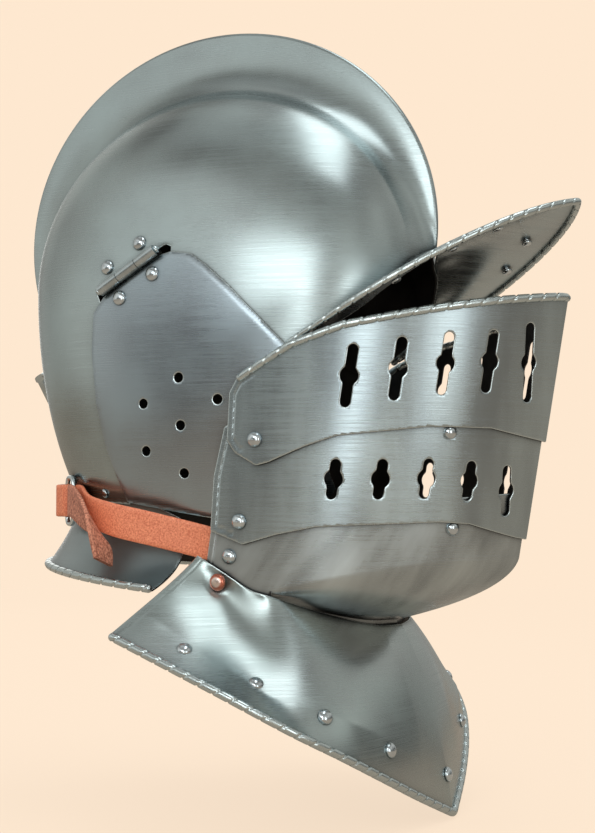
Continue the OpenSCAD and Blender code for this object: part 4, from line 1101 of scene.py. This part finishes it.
# Strap ring: a loop of round steel wire bent to a tall frame, which both straps fold round.
# It stands upright at the right of the nape.
ring_half_l, ring_half_h = 6.5, 14.4
ring_steps, wire_steps = 48, 12
ring_mid = (ring_front + ring_rear) / 2
ring_line = []
for k in range(ring_steps):
    turn = math.radians((k + 0.5) * 360 / ring_steps)
    along = math.copysign(abs(math.cos(turn)) ** 0.45, math.cos(turn))
    rise = math.copysign(abs(math.sin(turn)) ** 0.7, math.sin(turn))
    ring_line.append(ring_mid + ring_on * along * ring_half_l + np.array([0, 0, rise * ring_half_h]))
ring_line = np.array(ring_line)
ring_way = np.roll(ring_line, -1, 0) - np.roll(ring_line, 1, 0)
ring_way /= np.linalg.norm(ring_way, axis=1, keepdims=True)
ring_side = np.cross(ring_way, ring_out)
ring_points = np.concatenate([
    ring_line + ring_wire_r * (math.cos(a) * ring_out + math.sin(a) * ring_side)
    for a in np.radians(np.arange(0, 360, 360 // wire_steps))])
ring_faces = []
for a in range(wire_steps):
    here, there = a * ring_steps, (a + 1) % wire_steps * ring_steps
    for k in range(ring_steps):
        ahead = (k + 1) % ring_steps
        ring_faces.append((here + k, here + ahead, there + ahead, there + k))
ring_mesh = bpy.data.meshes.new("strap_wire_ring")
ring_mesh.from_pydata(ring_points / 1000, [], ring_faces)
ring_mesh.shade_smooth()
wire_ring = bpy.data.objects.new("strap_wire_ring", ring_mesh)
bpy.context.scene.collection.objects.link(wire_ring)


def plain_metal(name, low, high, smooth, rough):
    """Metal with cloudy tone and shine"""
    material, nodes, link, shader = blank(name)
    shader.inputs["Metallic"].default_value = 1
    cloud = noise(nodes, link, (90, 90, 90), 3)
    link(shaded(nodes, link, cloud, low, high), shader.inputs["Base Color"])
    link(ranged(nodes, link, cloud, smooth, rough), shader.inputs["Roughness"])
    return material


ring_steel = plain_metal("ring steel", (0.54, 0.60, 0.62), (0.70, 0.78, 0.80), 0.14, 0.26)
wire_ring.data.materials.append(ring_steel)
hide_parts("strap_ring")
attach(wire_ring, "buffe")
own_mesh(wire_ring)

# Small fittings: rivets, pivots, pins, hinges, plume tube and catches, each of its own steel,
# turned or forged and then peened over. The gorget's two pivots are copper with a pale centre.
rivet_steel = plain_metal("rivet steel", (0.52, 0.58, 0.62), (0.68, 0.76, 0.80), 0.12, 0.22)
hinge_steel = plain_metal("hinge steel", (0.40, 0.46, 0.48), (0.56, 0.64, 0.67), 0.20, 0.32)
pin_steel = plain_metal("pin steel", (0.52, 0.60, 0.62), (0.66, 0.75, 0.78), 0.18, 0.28)
tube_steel = plain_metal("tube steel", (0.44, 0.52, 0.54), (0.62, 0.71, 0.74), 0.16, 0.30)
gorget_axis = [joint["pos_m"] for joint in frame["joints"] if joint["name"] == "gorget_swing"][0]
pale_edge_cm, copper_edge_cm = 0.24, 0.33
copper, nodes, link, shader = blank("copper")
shader.inputs["Metallic"].default_value = 1
place = nodes.new("ShaderNodeTexCoord")
off_pin = nodes.new("ShaderNodeVectorMath")
off_pin.operation = "SUBTRACT"
off_pin.inputs[1].default_value = gorget_axis
link(place.outputs["Object"], off_pin.inputs[0])
flat = nodes.new("ShaderNodeVectorMath")
flat.operation = "MULTIPLY"
flat.inputs[1].default_value = (0, 1, 1)
link(off_pin.outputs["Vector"], flat.inputs[0])
from_pin = nodes.new("ShaderNodeVectorMath")
from_pin.operation = "LENGTH"
link(flat.outputs["Vector"], from_pin.inputs[0])
in_cm = nodes.new("ShaderNodeMath")
in_cm.operation = "MULTIPLY"
in_cm.inputs[1].default_value = 100
link(from_pin.outputs["Value"], in_cm.inputs[0])
link(shaded(nodes, link, in_cm.outputs["Value"], (0.80, 0.68, 0.62), (0.62, 0.22, 0.15),
            pale_edge_cm, copper_edge_cm), shader.inputs["Base Color"])
link(ranged(nodes, link, noise(nodes, link, (300, 300, 300)), 0.22, 0.36), shader.inputs["Roughness"])
coats = {
    "hinge_leaves_skull": hinge_steel, "hinge_leaf_right": hinge_steel, "hinge_leaf_left": hinge_steel,
    "hinge_pins": pin_steel, "plume_tube": tube_steel, "gorget_pivots": copper}
for body, node_names in frame["record"]["behaviour"]["bodies"].items():
    for node_name in node_names:
        part = frame["nodes"][node_name]
        if part.hide_render:
            continue
        shape = bmesh.new()
        shape.from_mesh(part.data)
        bmesh.ops.remove_doubles(shape, verts=shape.verts, dist=0.000002)
        mesh = bpy.data.meshes.new(node_name + "_rounded")
        shape.to_mesh(mesh)
        shape.free()
        mesh.materials.clear()
        mesh.materials.append(coats.get(node_name, rivet_steel))
        mesh.shade_smooth()
        mesh.set_sharp_from_angle(angle=math.radians(40))
        fitting = bpy.data.objects.new(node_name + "_rounded", mesh)
        bpy.context.scene.collection.objects.link(fitting)
        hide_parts(node_name)
        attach(fitting, body)
